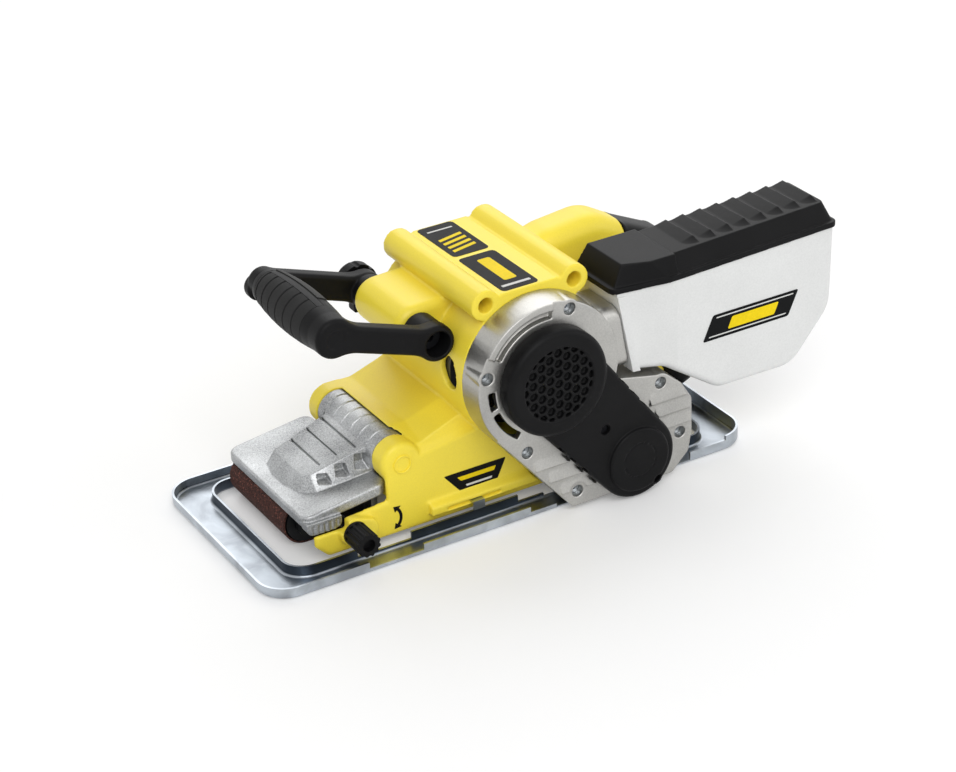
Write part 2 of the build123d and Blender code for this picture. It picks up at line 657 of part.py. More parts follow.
def leg_boards(leg):
    """Overlapping boards cast on the leg and the rear flange, each standing out at its lower edge."""
    field = offset(leg, -1.5) - cover_outline(-1)
    for x, z in GEAR_SCREWS:
        field -= disc(x, z, GEAR_BOSS_R)
    boards = Part()
    for start, end, z in LEG_RIBS:
        boards += Pos((start + end) / 2, GEAR_NEAR + 0.3, z) * Rot(RIB_TILT, 0, 0) * Box(end - start, 2, 9)
    return boards & along_y(field, (GEAR_NEAR - 3, GEAR_NEAR + 1))


def gear_housing():
    """Cast housing on the drive side: fan ring, bearing seats, foot, rear flange and dust port."""
    leg = fillet(polygon(*LEG).vertices().sort_by(Axis.Y)[:6], 4)
    lower = along_y(leg, (GEAR_NEAR, BASE_Y[0]))
    lower = lower - along_y(offset(leg, -4), (GEAR_NEAR + GEAR_PLATE, BASE_Y[0] + 1))
    lower -= rod_y(MOTOR_X, MOTOR_Z, BARREL_R, (BARREL_Y[0], BASE_Y[0] + 1))
    ring = loft([Plane.XZ.offset(-y) * disc(MOTOR_X, MOTOR_Z, radius)
                 for y, radius in ((BARREL_Y[0], BARREL_R), (GEAR_NEAR, BARREL_R - 1))])
    part = ring + lower
    part += dust_port() - rod_y(MOTOR_X, MOTOR_Z, BARREL_R, (BARREL_Y[0], -50))
    part -= rod_y(MOTOR_X, MOTOR_Z, BARREL_BORE - 1, (GEAR_NEAR + GEAR_PLATE, BARREL_Y[0] + 1))
    for x, z in GEAR_SCREWS:
        part += rod_y(x, z, GEAR_BOSS_R, (GEAR_NEAR, GEAR_NEAR + 16))
    part -= spigot(60, PORT_WALL)
    part += leg_boards(leg)
    for x, z, radius, seats in ((MOTOR_X, MOTOR_Z, FAR_BEARING_R, NEAR_BEARING_Y),
                                (DRUM_X, DRUM_Z, DRUM_BEARING_R, DRUM_BEARINGS_Y[0])):
        part += rod_y(x, z, radius + 4, (GEAR_NEAR, seats[1]))
        part -= rod_y(x, z, radius, (seats[0], seats[1] + 1))
        part -= rod_y(x, z, SHAFT_R + 2, (GEAR_NEAR - 1, seats[0] + 1))
    part += along_y(arc_band(ARCH_R[1], ARCH_R[2], *ARCH_TURN), (GEAR_NEAR - 1.5, GEAR_NEAR + 1))
    part -= along_y(arc_band(ARCH_R[0], ARCH_R[1], *ARCH_TURN), (GEAR_NEAR - 1, GEAR_NEAR + ARCH_DEEP))
    for turns in VENT_TURNS:
        part -= along_y(arc_band(*VENT_R, *turns), (GEAR_NEAR - 1, GEAR_NEAR + GEAR_PLATE + 1))
    for x, z in GEAR_SCREWS:
        part -= rod_y(x, z, SCREW_R, (GEAR_NEAR - 2, GEAR_SCREW_SEAT))
        part -= rod_y(x, z, 2.2, (GEAR_NEAR, GEAR_NEAR + 17))
    for x, z in COVER_SCREWS:
        part -= rod_y(x, z, 1.6, (GEAR_NEAR - 1, GEAR_NEAR + 4))
    return part


def gear_screws():
    parts = []
    for x, z in GEAR_SCREWS:
        head = rod_y(x, z, SCREW_R - 0.2, (GEAR_SCREW_SEAT - 3.5, GEAR_SCREW_SEAT))
        head -= rod_y(x, z, 1.6, (GEAR_SCREW_SEAT - 4, GEAR_SCREW_SEAT - 1.5))
        parts.append((head + rod_y(x, z, 2.2, (GEAR_SCREW_SEAT, GEAR_SCREW_SEAT + 6))).solid())
    return Compound(children=parts)


COVER_SCREWS = [(73, 56.3), (110.2, 9.8)]
COVER_SCREW_SEAT = -105.5
HEX_PITCH = 7.0
HEX_R = 3.0
HEX_DEEP = 3.2
HONEY_DEEP = 0.8


def cover_arm(trim):
    return hull((MOTOR_X, MOTOR_Z, COVER_ARM_R - trim), (DRUM_X, DRUM_Z, COVER_END_R - trim))


def cover_outline(trim):
    return disc(MOTOR_X, MOTOR_Z, COVER_HEAD_R - trim) + cover_arm(trim)


def honeycomb():
    """Hexagon cells that fill the round field over the motor, cut off at its rim."""
    cells = []
    columns = 5
    for column in range(-columns, columns + 1):
        for row in range(-columns, columns + 1):
            x = column * HEX_PITCH * cos(radians(30))
            z = (row + column / 2) * HEX_PITCH
            if hypot(x, z) < HONEY_R + 1:
                cells.append(Pos(MOTOR_X + x, MOTOR_Z + z) * RegularPolygon(HEX_R, 6))
    return (Sketch() + cells) & disc(MOTOR_X, MOTOR_Z, HONEY_R - 0.5)


def arm_notches():
    """Small cuts along both edges of the cover's arm."""
    turn = degrees(atan2(DRUM_Z - MOTOR_Z, DRUM_X - MOTOR_X))
    parts = Part()
    for step in (0.42, 0.56, 0.7):
        x = MOTOR_X + (DRUM_X - MOTOR_X) * step
        z = MOTOR_Z + (DRUM_Z - MOTOR_Z) * step
        half = COVER_ARM_R - (COVER_ARM_R - COVER_END_R) * step
        for side in (-1, 1):
            parts += Pos(x, GEAR_NEAR - 5, z) * Rot(0, -turn, 0) * Pos(0, 0, side * half) * Box(6, 7, 4.4)
    return parts


def drive_cover():
    """Black cover over the toothed belt: head with a honeycomb field, lower arm and a round end boss."""
    part = soften(along_y(cover_arm(0), (COVER_ARM_NEAR, GEAR_NEAR)), 2.5, COVER_ARM_NEAR)
    part += soften(rod_y(MOTOR_X, MOTOR_Z, COVER_HEAD_R, (COVER_NEAR, GEAR_NEAR)), 4, COVER_NEAR)
    end = rod_y(DRUM_X, DRUM_Z, END_BOSS_R, (COVER_END_NEAR, COVER_ARM_NEAR + 1))
    part += soften(end, 1.5, COVER_END_NEAR)
    part -= along_y(cover_outline(2.5), (COVER_ARM_NEAR + 2, GEAR_NEAR + 1))
    part -= ring_y(DRUM_X, DRUM_Z, 12.2, 11.2, (COVER_END_NEAR - 1, COVER_END_NEAR + 0.8))
    part -= rod_y(MOTOR_X, MOTOR_Z, HONEY_R, (COVER_NEAR - 1, COVER_NEAR + HONEY_DEEP))
    part -= along_y(honeycomb(), (COVER_NEAR, COVER_NEAR + HONEY_DEEP + HEX_DEEP))
    for x, z in COVER_SCREWS:
        part += rod_y(x, z, 5, (COVER_ARM_NEAR + 1, GEAR_NEAR))
        part -= rod_y(x, z, 3.4, (COVER_NEAR - 1, COVER_SCREW_SEAT))
        part -= rod_y(x, z, 1.6, (COVER_NEAR, GEAR_NEAR + 1))
    return part - arm_notches()


def cover_screws():
    parts = []
    for x, z in COVER_SCREWS:
        head = rod_y(x, z, 3.2, (COVER_SCREW_SEAT - 2, COVER_SCREW_SEAT))
        head -= block((x - 0.4, x + 0.4), (COVER_SCREW_SEAT - 3, COVER_SCREW_SEAT - 1.2), (z - 2, z + 2))
        parts.append((head + rod_y(x, z, 1.6, (COVER_SCREW_SEAT, GEAR_NEAR + 3.5))).solid())
    return Compound(children=parts)


# Sanding frame

RAIL_NOTCHES = [(-88, -50, 4.0), (27, 46, 4.4), (46, 148, FRAME_LOW)]
TAB_X = (-5.0, 3.0)
TAB_TOP = 14.9


def tray_outline(x, y, radius):
    face = Pos((x[0] + x[1]) / 2, (y[0] + y[1]) / 2) * RectangleRounded(x[1] - x[0], y[1] - y[0], radius)
    return face


def flat_edges(part, z):
    """Edges lying in the plane at one height."""
    return part.edges().filter_by_position(Axis.Z, z - 0.01, z + 0.01)


def pressed_channel(height):
    """Sheet pressed into a channel between the outer and inner outlines, rounded at its bends."""
    outer = tray_outline(FRAME_X, FRAME_Y, FRAME_CORNER)
    hole = tray_outline(FRAME_HOLE_X, FRAME_HOLE_Y, FRAME_HOLE_CORNER)
    body = fillet(flat_edges(extrude(outer - hole, amount=height), 0), FRAME_BEND + FRAME_SHEET)
    groove = offset(outer, -FRAME_SHEET) - offset(hole, FRAME_SHEET)
    room = extrude(Plane.XY.offset(FRAME_SHEET) * groove, amount=height)
    return body - fillet(flat_edges(room, FRAME_SHEET), FRAME_BEND)


def sanding_frame():
    """Stamped tray: floor, outer lip, inner lip and a bent tab on the drive side."""
    part = pressed_channel(FRAME_REAR_LIP)
    inner_top = tray_outline(FRAME_HOLE_X, FRAME_HOLE_Y, FRAME_HOLE_CORNER)
    inner_top = offset(inner_top, FRAME_SHEET + 1)
    part -= extrude(Plane.XY.offset(FRAME_INNER_LIP) * inner_top, amount=FRAME_REAR_LIP)
    part -= block((-160, 176), (-100, 70), (FRAME_LIP, 20)) - block(
        (FRAME_HOLE_X[0] - 3, FRAME_HOLE_X[1] + 3), (FRAME_HOLE_Y[0] - 3, FRAME_HOLE_Y[1] + 3), (0, 20))
    part -= block((170, 200), (40, 70), (FRAME_LIP, 20))
    for start, end, low in RAIL_NOTCHES:
        part -= block((start, end), (FRAME_Y[0] - 1, FRAME_HOLE_Y[0] + 1), (low, 20))
    lip_y = (FRAME_HOLE_Y[0] - FRAME_SHEET, FRAME_HOLE_Y[0])
    tab = block(TAB_X, lip_y, (FRAME_INNER_LIP - 1, TAB_TOP))
    tab += block(TAB_X, (lip_y[0], -72.5), (TAB_TOP - FRAME_SHEET, TAB_TOP))
    bracket = block((FRAME_HOLE_X[1], FRAME_HOLE_X[1] + FRAME_SHEET), (-25, -5), (FRAME_INNER_LIP - 1, 15))
    bracket += block((150, FRAME_HOLE_X[1] + FRAME_SHEET), (-25, -5), (15 - FRAME_SHEET, 15))
    return part + tab + bracket


# Front cover on its hinge

COVER_BACK = (-58.0, 42.0)
COVER_FRONT = (-117.0, 34.0)
COVER_SLOPE = (COVER_BACK[1] - COVER_FRONT[1]) / (COVER_BACK[0] - COVER_FRONT[0])
COVER_LOW = (34.0, 26.8)
COVER_Y = (-66.0, 41.0)
COVER_SHEET = 3.2
BARREL_OUT = 13.5
BARREL_RINGS = (9, -2, -13, -24, -35, -46)
RING_HALF = 0.6
RING_DEEP = 1.0
BOSS_FOOT = [(-50, 7), (-106, 7.4), (-109.6, -7.5), (-109.4, -22.9), (-106, -37.2), (-96.2, -46.2),
             (-50, -49.5)]
BOSS_CROWN = [(-54, 6.5), (-100, 6.5), (-100.4, -7.5), (-100.4, -22.9), (-100, -33), (-96.8, -37),
              (-54, -48.5)]
CROWN_START = (-98.0, 44.8)
CROWN_SLOPE = 0.38
CROWN_GROOVES = [(-88.3, -34), (-77.1, -36), (-66, -41)]
GROOVE_WIDTH = 1.2
GROOVE_DEEP = 1.9
BOSS_POCKETS = [(-90, -38.5, 38, 45.5), (-78.3, -40, 39.8, 50), (-65.8, -42.5, 41.5, 54.5)]


def front_cover():
    """Cast cover over the front roller: ribbed plate, raised boss and hinge barrel."""
    side = polygon(COVER_BACK, COVER_FRONT, (COVER_FRONT[0], COVER_LOW[1]), (COVER_BACK[0], COVER_LOW[0]))
    plate = along_y(side, COVER_Y)
    plate = fillet(plate.edges().filter_by(Axis.Z), 7)
    top = plate.faces().sort_by(Axis.Z)[-1]
    plate = fillet(top.edges(), 1.6)
    back_x = COVER_BACK[0] + 5
    front_x = COVER_FRONT[0] + 3
    under = polygon((back_x, COVER_BACK[1] - COVER_SHEET + 5 * COVER_SLOPE),
                    (front_x, COVER_FRONT[1] - COVER_SHEET + 3 * COVER_SLOPE), (front_x, 10), (back_x, 10))
    plate -= along_y(under, (COVER_Y[0] + 3, COVER_Y[1] - 3))
    barrel_y = (EAR_NEAR_Y[1] + CLEAR, EAR_FAR_Y[0] - CLEAR)
    plate -= rod_y(HINGE_X, HINGE_Z, EAR_R + 1.2, (COVER_Y[0] - 1, barrel_y[0]))
    plate -= rod_y(HINGE_X, HINGE_Z, EAR_R + 1.2, (barrel_y[1], COVER_Y[1] + 1))
    plate -= belt_space()
    part = plate + cover_boss()
    barrel = rod_y(HINGE_X, HINGE_Z, BARREL_OUT, barrel_y)
    for y in BARREL_RINGS:
        ring = (y - RING_HALF, y + RING_HALF)
        barrel -= ring_y(HINGE_X, HINGE_Z, BARREL_OUT + 1, BARREL_OUT - RING_DEEP, ring)
    part += barrel
    part -= rod_y(HINGE_X, HINGE_Z, 3 + SLIP, (-80, 40))
    return part + finger_tab()


def finger_tab():
    """Ridged tab below the near edge, by which the cover is lifted."""
    tab = block(FINGER_X, (-68.5, -60), FINGER_Z)
    tab = fillet(tab.edges().filter_by(Axis.Y).sort_by(Axis.Z)[:2], 5)
    ridges = 5
    pitch = 4.0
    for index in range(ridges):
        x = FINGER_X[0] + 3.5 + pitch * index
        tab -= block((x, x + pitch / 2), (-70, -68.1), (FINGER_Z[0] - 1, FINGER_Z[1] - 2))
    return tab


def cover_boss():
    """Raised faceted boss from the barrel down the plate: cross grooves on top, pockets in its near side."""
    foot = on_slope(BOSS_FOOT, (COVER_BACK[0], COVER_BACK[1] - 1), COVER_SLOPE)
    boss = loft([foot, on_slope(BOSS_CROWN, CROWN_START, CROWN_SLOPE)], ruled=True)
    tilt = -degrees(atan(CROWN_SLOPE))
    far = BOSS_CROWN[0][1]
    for x, near in CROWN_GROOVES:
        z = CROWN_START[1] + CROWN_SLOPE * (x - CROWN_START[0])
        groove = Pos(0, (near + far) / 2, 0) * Box(GROOVE_WIDTH, far - near, 2 * GROOVE_DEEP)
        boss -= Pos(x, 0, z) * Rot(0, tilt, 0) * groove
        boss -= Pos(x, far - 2, z) * Rot(0, tilt, 0) * Box(2.2, 2.2, 7)
    for x, deep, low, top in BOSS_POCKETS:
        ledge = (low + top) / 2
        mouth = polygon((x - 5.2, low - 1), (x + 5.2, low - 1), (x + 3.4, top + 0.5), (x - 3.4, top + 0.5))
        back = polygon((x - 3.6, ledge), (x + 3.6, ledge), (x + 3, top), (x - 3, top))
        boss -= loft([Plane.XZ.offset(52) * mouth, Plane.XZ.offset(-deep) * back], ruled=True)
    return boss


def hinge_pin():
    return rod_y(HINGE_X, HINGE_Z, 3, (EAR_NEAR_Y[0] + 4, EAR_FAR_Y[1] - 2))


# Front handle

def arm_outline(knuckle):
    """Side outline of one arm: two round ends with a narrower bar blended between them."""
    length = hypot(GRIP_X - PIVOT_X, GRIP_Z - PIVOT_Z)
    turn = degrees(atan2(GRIP_Z - PIVOT_Z, GRIP_X - PIVOT_X))
    middle = ((PIVOT_X + GRIP_X) / 2, (PIVOT_Z + GRIP_Z) / 2)
    bar = Pos(*middle) * Rot(0, 0, turn) * Rectangle(length, 2 * ARM_HALF)
    outline = bar + disc(PIVOT_X, PIVOT_Z, EYE_R) + disc(GRIP_X, GRIP_Z, knuckle)
    corners = outline.vertices().sort_by_distance((middle[0], middle[1], 0))[:4]
    return fillet(corners, ARM_BEND)


def front_handle():
    """Bail: two arms with pivot eyes, joined by the grip's core; the far one has a lug and an end cap."""
    part = rod_y(GRIP_X, GRIP_Z, GRIP_CORE_R, (ARM_NEAR_Y[0] + 4, ARM_FAR_Y[1] - 4))
    for arm_y, knuckle, collar_y in ((ARM_NEAR_Y, NEAR_KNUCKLE_R, (ARM_NEAR_Y[1], LOBE_Y[0] - CLEAR)),
                                     (ARM_FAR_Y, FAR_KNUCKLE_R, (LOBE_Y[1] + CLEAR, ARM_FAR_Y[0]))):
        part += soften(along_y(arm_outline(knuckle), arm_y), ARM_SOFT, *arm_y)
        part += rod_y(PIVOT_X, PIVOT_Z, EYE_R - 0.5, collar_y)
    part += along_y(hull((PIVOT_X, PIVOT_Z, EYE_R - 3), FAR_LUG), (ARM_FAR_Y[0] + 2, ARM_FAR_Y[1] - 2))
    cap_end = ARM_FAR_Y[1] + END_CAP_DEEP
    part += soften(rod_y(*END_CAP, (ARM_FAR_Y[1] - 4, cap_end)), 2, cap_end)
    part -= rod_y(GRIP_X, GRIP_Z, KNUCKLE_DISH_R, (ARM_NEAR_Y[0] - 1, ARM_NEAR_Y[0] + KNUCKLE_DISH_DEEP))
    part -= rod_y(PIVOT_X, PIVOT_Z, EYE_HOLE_R, (ARM_NEAR_Y[0] - 1, ARM_NEAR_Y[0] + EYE_DEEP))
    return part - rod_y(PIVOT_X, PIVOT_Z, BOLT_R + SLIP, (-80, 40))


GRIP_CORE_R = 9.0
GRIP_NEAR_R = 13.0
GRIP_FAR_R = 11.5
GRIP_MIDDLE_R = 15.2


def front_grip():
    """Soft sleeve, fuller in the middle, with rings of grooves."""
    start = ARM_NEAR_Y[1] + 0.5
    end = ARM_FAR_Y[0] - 0.5
    middle = (start + end) / 2
    core_near, core_far = (GRIP_CORE_R, start), (GRIP_CORE_R, end)
    rim_near, rim_far = (GRIP_NEAR_R, start), (GRIP_FAR_R, end)
    ends_r = (GRIP_NEAR_R + GRIP_FAR_R) / 2
    outline = [Line(core_near, rim_near), ThreePointArc(rim_near, (GRIP_MIDDLE_R, middle), rim_far),
               Line(rim_far, core_far), Line(core_far, core_near)]
    sleeve = revolve(make_face(outline), Axis.Y)
    grooves = 7
    for index in range(grooves):
        y = start + 16 + index * 8
        offset_y = (y - middle) / (end - middle)
        taper = (GRIP_FAR_R - GRIP_NEAR_R) / 2 * offset_y
        bottom = ends_r + taper + (GRIP_MIDDLE_R - ends_r) * (1 - offset_y ** 2) - 0.9
        sleeve -= ring_y(0, 0, GRIP_MIDDLE_R + 1, bottom, (y - 0.6, y + 0.6))
    return Pos(GRIP_X, 0, GRIP_Z) * sleeve


def handle_bolt():
    seat = ARM_NEAR_Y[0] + EYE_DEEP - CLEAR
    stem = rod_y(PIVOT_X, PIVOT_Z, BOLT_R, (seat, BOLT_END))
    head = rod_y(PIVOT_X, PIVOT_Z, 7.5, (seat - 4.5, seat))
    socket = Pos(PIVOT_X, PIVOT_Z) * RegularPolygon(3.4, 6)
    return stem + head - along_y(socket, (seat - 5, seat - 1.5))


def clamp_knob():
    """Domed hand knob on the far end of the pivot bolt."""
    part = rod_y(PIVOT_X, PIVOT_Z, CLAMP_R, (ARM_FAR_Y[1] + CLEAR, CLAMP_END))
    part = soften(part, 4, CLAMP_END)
    grips = 8
    for index in range(grips):
        turn = radians(360 / grips * index)
        reach = CLAMP_R + 1.1
        part -= rod_y(PIVOT_X + reach * cos(turn), PIVOT_Z + reach * sin(turn), 2.4, (ARM_FAR_Y[1], 50))
    return part - rod_y(PIVOT_X, PIVOT_Z, BOLT_R + SLIP, (20, BOLT_END + 0.3))


# Dust box

BOX_REAR_X = 254.0
BOX_REAR_TOP = BOX_TOP + BOX_RISE * (BOX_REAR_X - NECK_TOP[0])
BOX_SIDE = [NECK_TOP, NECK_FOOT, (124, 81), (164, 54), (222, 53.5), (252, 88), (BOX_REAR_X, BOX_REAR_TOP)]
BOX_BENDS = [(124, 14), (164, 18), (222, 20), (252, 24)]
BOX_SPAN = (-110.0, -40.0)
BOX_ROOM_TOP = 170.0


def box_outline():
    """Side outline of the box, each lower corner with its own rounding."""
    side = polygon(*BOX_SIDE)
    for x, radius in BOX_BENDS:
        side = fillet(side.vertices().filter_by_position(Axis.X, x - 1, x + 1), radius)
    return side


def box_plan(trim, top):
    """Plan outline of the box, narrower at the neck on the near side."""
    points = [(70, BOX_Y[1] - trim), (255 - trim, BOX_Y[1] - trim), (255 - trim, BOX_Y[0] + trim),
              (132, BOX_Y[0] + trim), (90, BOX_FRONT_Y + trim), (70, BOX_FRONT_Y + trim)]
    face = polygon(*points)
    return extrude(Plane.XY.offset(40) * face, amount=top - 40)


def dust_box():
    """Translucent box, open at the top and at the neck that slips over the port."""
    side = box_outline()
    outer = along_y(side, BOX_SPAN) & box_plan(0, BOX_ROOM_TOP)
    outer = fillet(outer.edges().filter_by(Axis.Z).sort_by(Axis.X)[-2:], 8)
    inner = along_y(offset(side, -BOX_WALL), BOX_SPAN) & box_plan(BOX_WALL, BOX_ROOM_TOP)
    for face_y in BOX_Y:
        rim = outer.edges().filter_by_position(Axis.Y, face_y - 0.01, face_y + 0.01)
        outer = fillet(rim.filter_by_position(Axis.Z, 0, BOX_TOP - 1), 5)
    band = polygon((NECK_TOP[0], BOX_TOP - 2), NECK_FOOT, (NECK_FOOT[0] + 5, NECK_FOOT[1]),
                   (NECK_TOP[0] + 5, BOX_TOP - 2))
    part = outer + (along_y(band, BOX_SPAN) & box_plan(-1.2, BOX_TOP - 2)) - inner
    part -= box_plan(BOX_WALL, BOX_ROOM_TOP) & block((97, 250), BOX_SPAN, (BOX_TOP - 5, BOX_ROOM_TOP))
    mouth = block((80, 110), (PORT_Y[0] - CLEAR, PORT_Y[1] + CLEAR), (PORT_Z[0] - CLEAR, PORT_Z[1] + CLEAR))
    return part - fillet(mouth.edges().filter_by(Axis.X), 9)


RIB_COUNT = 8
RIB_PITCH = 13.0
RIB_START_X = 145.0
RIB_SECTIONS = [(-55.2, 2.0), (-86, 2.8), (-94.2, -0.5)]
REAR_ROOF = LID_TOP - 1.6
RIM_PLAN = [(88.5, -50.5), (255.5, -50.5), (255.5, -104.8), (128, -104.8), (88.5, -97.2)]
RIM_HIGH = 3.6
RIM_BEND = 5.0
LID_BEND = 4.0


def lid_block(low, high, top, rise):
    """Piece of the lid between its rim on the box and a roof that may rise to the rear."""
    rim = on_slope(low, (NECK_TOP[0], BOX_TOP + LID_GAP), BOX_RISE)
    return loft([rim, on_slope(high, (LID_FRONT_X, top), rise)], ruled=True)


def upright_edges(part):
    """Edges that stand straight up."""
    leans = [(edge, edge.position_at(1) - edge.position_at(0)) for edge in part.edges()]
    return [edge for edge, lean in leans if hypot(lean.X, lean.Y) < 0.01]


def lid_rib(x):
    """Wedge rib that grows toward the near side and drops again at the lid's edge."""
    roof = REAR_ROOF + LID_RISE * (x + RIB_PITCH / 2 - LID_FRONT_X)
    wedges = []
    for y, height in RIB_SECTIONS:
        peak = (x + RIB_PITCH - 1.4, roof + height)
        wedges.append(Plane.XZ.offset(-y) * polygon((x, roof - 0.8), peak, (x + RIB_PITCH, roof - 0.8)))
    return loft(wedges, ruled=True)


def dust_lid():
    """Black lid: sloping sides, a flat front panel and a rear roof with wedge ribs."""
    part = lid_block([(89, -51), (134, -51), (134, -104), (128, -104), (89, -96.5)],
                     [(98.5, -54), (134, -54), (134, -99.5), (115, -99.5), (98.5, -92.6)], LID_TOP, 0)
    rear = lid_block([(133, -51), (255, -51), (255, -104), (133, -104)],
                     [(133, -55), (251, -55), (251, -95), (133, -95)], REAR_ROOF, LID_RISE)
    part += fillet(rear.edges().filter_by_position(Axis.X, 252, 254), LID_BEND)
    rim_top = BOX_TOP + LID_GAP + RIM_HIGH + BOX_RISE * (LID_FRONT_X - NECK_TOP[0])
    rim = lid_block(RIM_PLAN, RIM_PLAN, rim_top, BOX_RISE)
    part += fillet(upright_edges(rim), RIM_BEND)
    for index in range(RIB_COUNT):
        part += lid_rib(RIB_START_X + RIB_PITCH * index)
    return part - block((106, 244), (-93, -60), (BOX_TOP - 1, REAR_ROOF - 3))


# Rear grip, trigger and switch

GRIP_OUTER = [(158, 140.5), (176, 132), (198, 106), (207, 76), (207, 42), (200, 22), (186, 15), (168, 15)]
GRIP_INNER = [(171, 36), (178, 44), (180, 72), (178, 96), (158, 116), (128, 129)]
TRIGGER_MID = (168.0, 106.0)
TRIGGER_TRAVEL = 6.0


def trigger_frame():
    """Frame at the trigger: local x along the grip, z out of the grip into the finger space."""
    return Plane(origin=(TRIGGER_MID[0], GRIP_MID_Y, TRIGGER_MID[1]), x_dir=(1, 0, -1), z_dir=(-1, 0, -1))


def rear_grip():
    """Black D grip between the yellow top lobe and foot, with a trigger well."""
    outline = polygon((128, 154.6), *GRIP_OUTER, *GRIP_INNER)
    outline = fillet(outline.vertices().sort_by(Axis.X)[4:], 12)
    part = soften(along_y(outline, GRIP_Y), 10, *GRIP_Y)
    part -= block((100, HANDLE_BACK), (GRIP_Y[0] - 1, GRIP_Y[1] + 1), (100, 180))
    well = trigger_frame() * Pos(0, 0, -5) * Box(26 + 2 * CLEAR, 14 + 2 * CLEAR, 22)
    part -= well
    part -= trigger_frame() * Pos(0, 0, -18) * Box(20, 18, 12)
    part -= rod_y(LOCK_X, LOCK_Z, 5 + CLEAR, (GRIP_Y[1] - 8, GRIP_Y[1] + 1))
    gland = rod_x(GRIP_MID_Y, GLAND_Z, 7, (199, 215))
    return part - gland


LOCK_X = 184.0
LOCK_Z = 112.0
GLAND_Z = 50.0


def trigger():
    body = Box(26, 14, 12)
    body = fillet(body.edges().filter_by(Axis.Y).sort_by(Axis.Z)[-2:], 4)
    return trigger_frame() * Pos(0, 0, 2) * body


def switch_block():
    return trigger_frame() * Pos(0, 0, -18.5) * Box(19.4, 17.4, 10.6)


def lock_button():
    return soften(rod_y(LOCK_X, LOCK_Z, 5, (GRIP_Y[1] - 4, GRIP_Y[1] + 3)), 1.2, GRIP_Y[1] + 3)


def speed_dial():
    part = rod_y(DIAL_X, DIAL_Z, 9, (GRIP_Y[1] + CLEAR, GRIP_Y[1] + 5))
    part = soften(part, 1, GRIP_Y[1] + 5) + rod_y(DIAL_X, DIAL_Z, 3, (GRIP_Y[1] - 6, GRIP_Y[1] + 1))
    teeth = 20
    for index in range(teeth):
        turn = radians(360 / teeth * index)
        part -= rod_y(DIAL_X + 9.3 * cos(turn), DIAL_Z + 9.3 * sin(turn), 0.8, (0, 20))
    return part


DIAL_X = 112.0
DIAL_Z = 139.0


def cord_gland():
    part = rod_x(GRIP_MID_Y, GLAND_Z, 7, (199, 209))
    return part - rod_x(GRIP_MID_Y, GLAND_Z, 4, (201, 215))


NODES = [
    motor_housing, base_housing, gear_housing, gear_screws, drive_cover, cover_screws, sanding_frame,
    chassis, platen, platen_pad, abrasive_belt, front_roller, front_axle, yoke, yoke_pin, tension_carriage,
    tension_spring, spring_washer, tension_lever, lever_pin, tracking_knob, drum_core, drum_tyre,
    drum_shaft, drum_bearings, armature, commutator, cooling_fan, stator, brush_holders, carbon_brushes,
    motor_bearings, drive_pulley, driven_pulley, drive_belt, front_cover, hinge_pin, front_handle,
    front_grip, handle_bolt, clamp_knob, dust_box, dust_lid, rear_grip, trigger, switch_block, lock_button,
    speed_dial, cord_gland,
]

os.makedirs("parts", exist_ok=True)
for make in NODES:
    export_step(make(), f"parts/{make.__name__}.step")
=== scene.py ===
import json
import math

import bmesh
import bpy
from bpy.props import FloatProperty, IntProperty, PointerProperty, StringProperty
from mathutils import Matrix, Vector


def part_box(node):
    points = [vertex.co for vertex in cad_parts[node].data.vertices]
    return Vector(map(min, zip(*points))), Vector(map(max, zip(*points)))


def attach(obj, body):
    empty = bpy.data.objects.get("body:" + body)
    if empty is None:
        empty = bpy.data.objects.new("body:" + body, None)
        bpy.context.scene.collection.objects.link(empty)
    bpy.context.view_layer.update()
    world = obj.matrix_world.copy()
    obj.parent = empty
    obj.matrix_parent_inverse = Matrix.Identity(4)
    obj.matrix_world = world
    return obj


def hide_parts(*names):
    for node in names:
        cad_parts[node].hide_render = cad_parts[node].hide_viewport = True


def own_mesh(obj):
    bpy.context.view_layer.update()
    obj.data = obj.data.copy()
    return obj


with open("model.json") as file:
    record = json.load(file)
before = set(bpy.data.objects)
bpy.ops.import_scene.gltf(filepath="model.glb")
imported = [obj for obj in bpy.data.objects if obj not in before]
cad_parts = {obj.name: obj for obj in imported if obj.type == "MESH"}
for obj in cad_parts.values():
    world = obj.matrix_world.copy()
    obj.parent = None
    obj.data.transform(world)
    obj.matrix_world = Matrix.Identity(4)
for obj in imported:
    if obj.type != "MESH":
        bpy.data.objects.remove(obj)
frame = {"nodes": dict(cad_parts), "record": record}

bl_info = {
    "name": "Belt sander",
    "version": (1, 1, 0),
    "blender": (4, 5, 0),
    "location": "View3D > Sidebar > Sander",
    "description": "Dresses the solids of a belt sander with moulded, cast and pressed finishes",
    "category": "Object",
}

NODES = frame["nodes"]
JOINTS = {row["name"]: row for row in frame["record"]["behaviour"]["joints"]}
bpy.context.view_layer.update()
MM = 0.001
# Corners closer than this are one corner.
WELD = 0.002 * MM
# Most triangles in a softened skin of the large pale pieces, and of the black ones.
PALE_MOST = 190000
BLACK_MOST = 160000
# Shares of noise between which a finish goes from its dark to its light tone, and from smooth to rough.
TONE_FROM, TONE_TO = 0.7, 1.3
GRAIN_FROM, GRAIN_TO = 0.3, 0.7
DENT = 0.2 * MM
WHITE = (1, 1, 1, 1)
FINISHES = {}


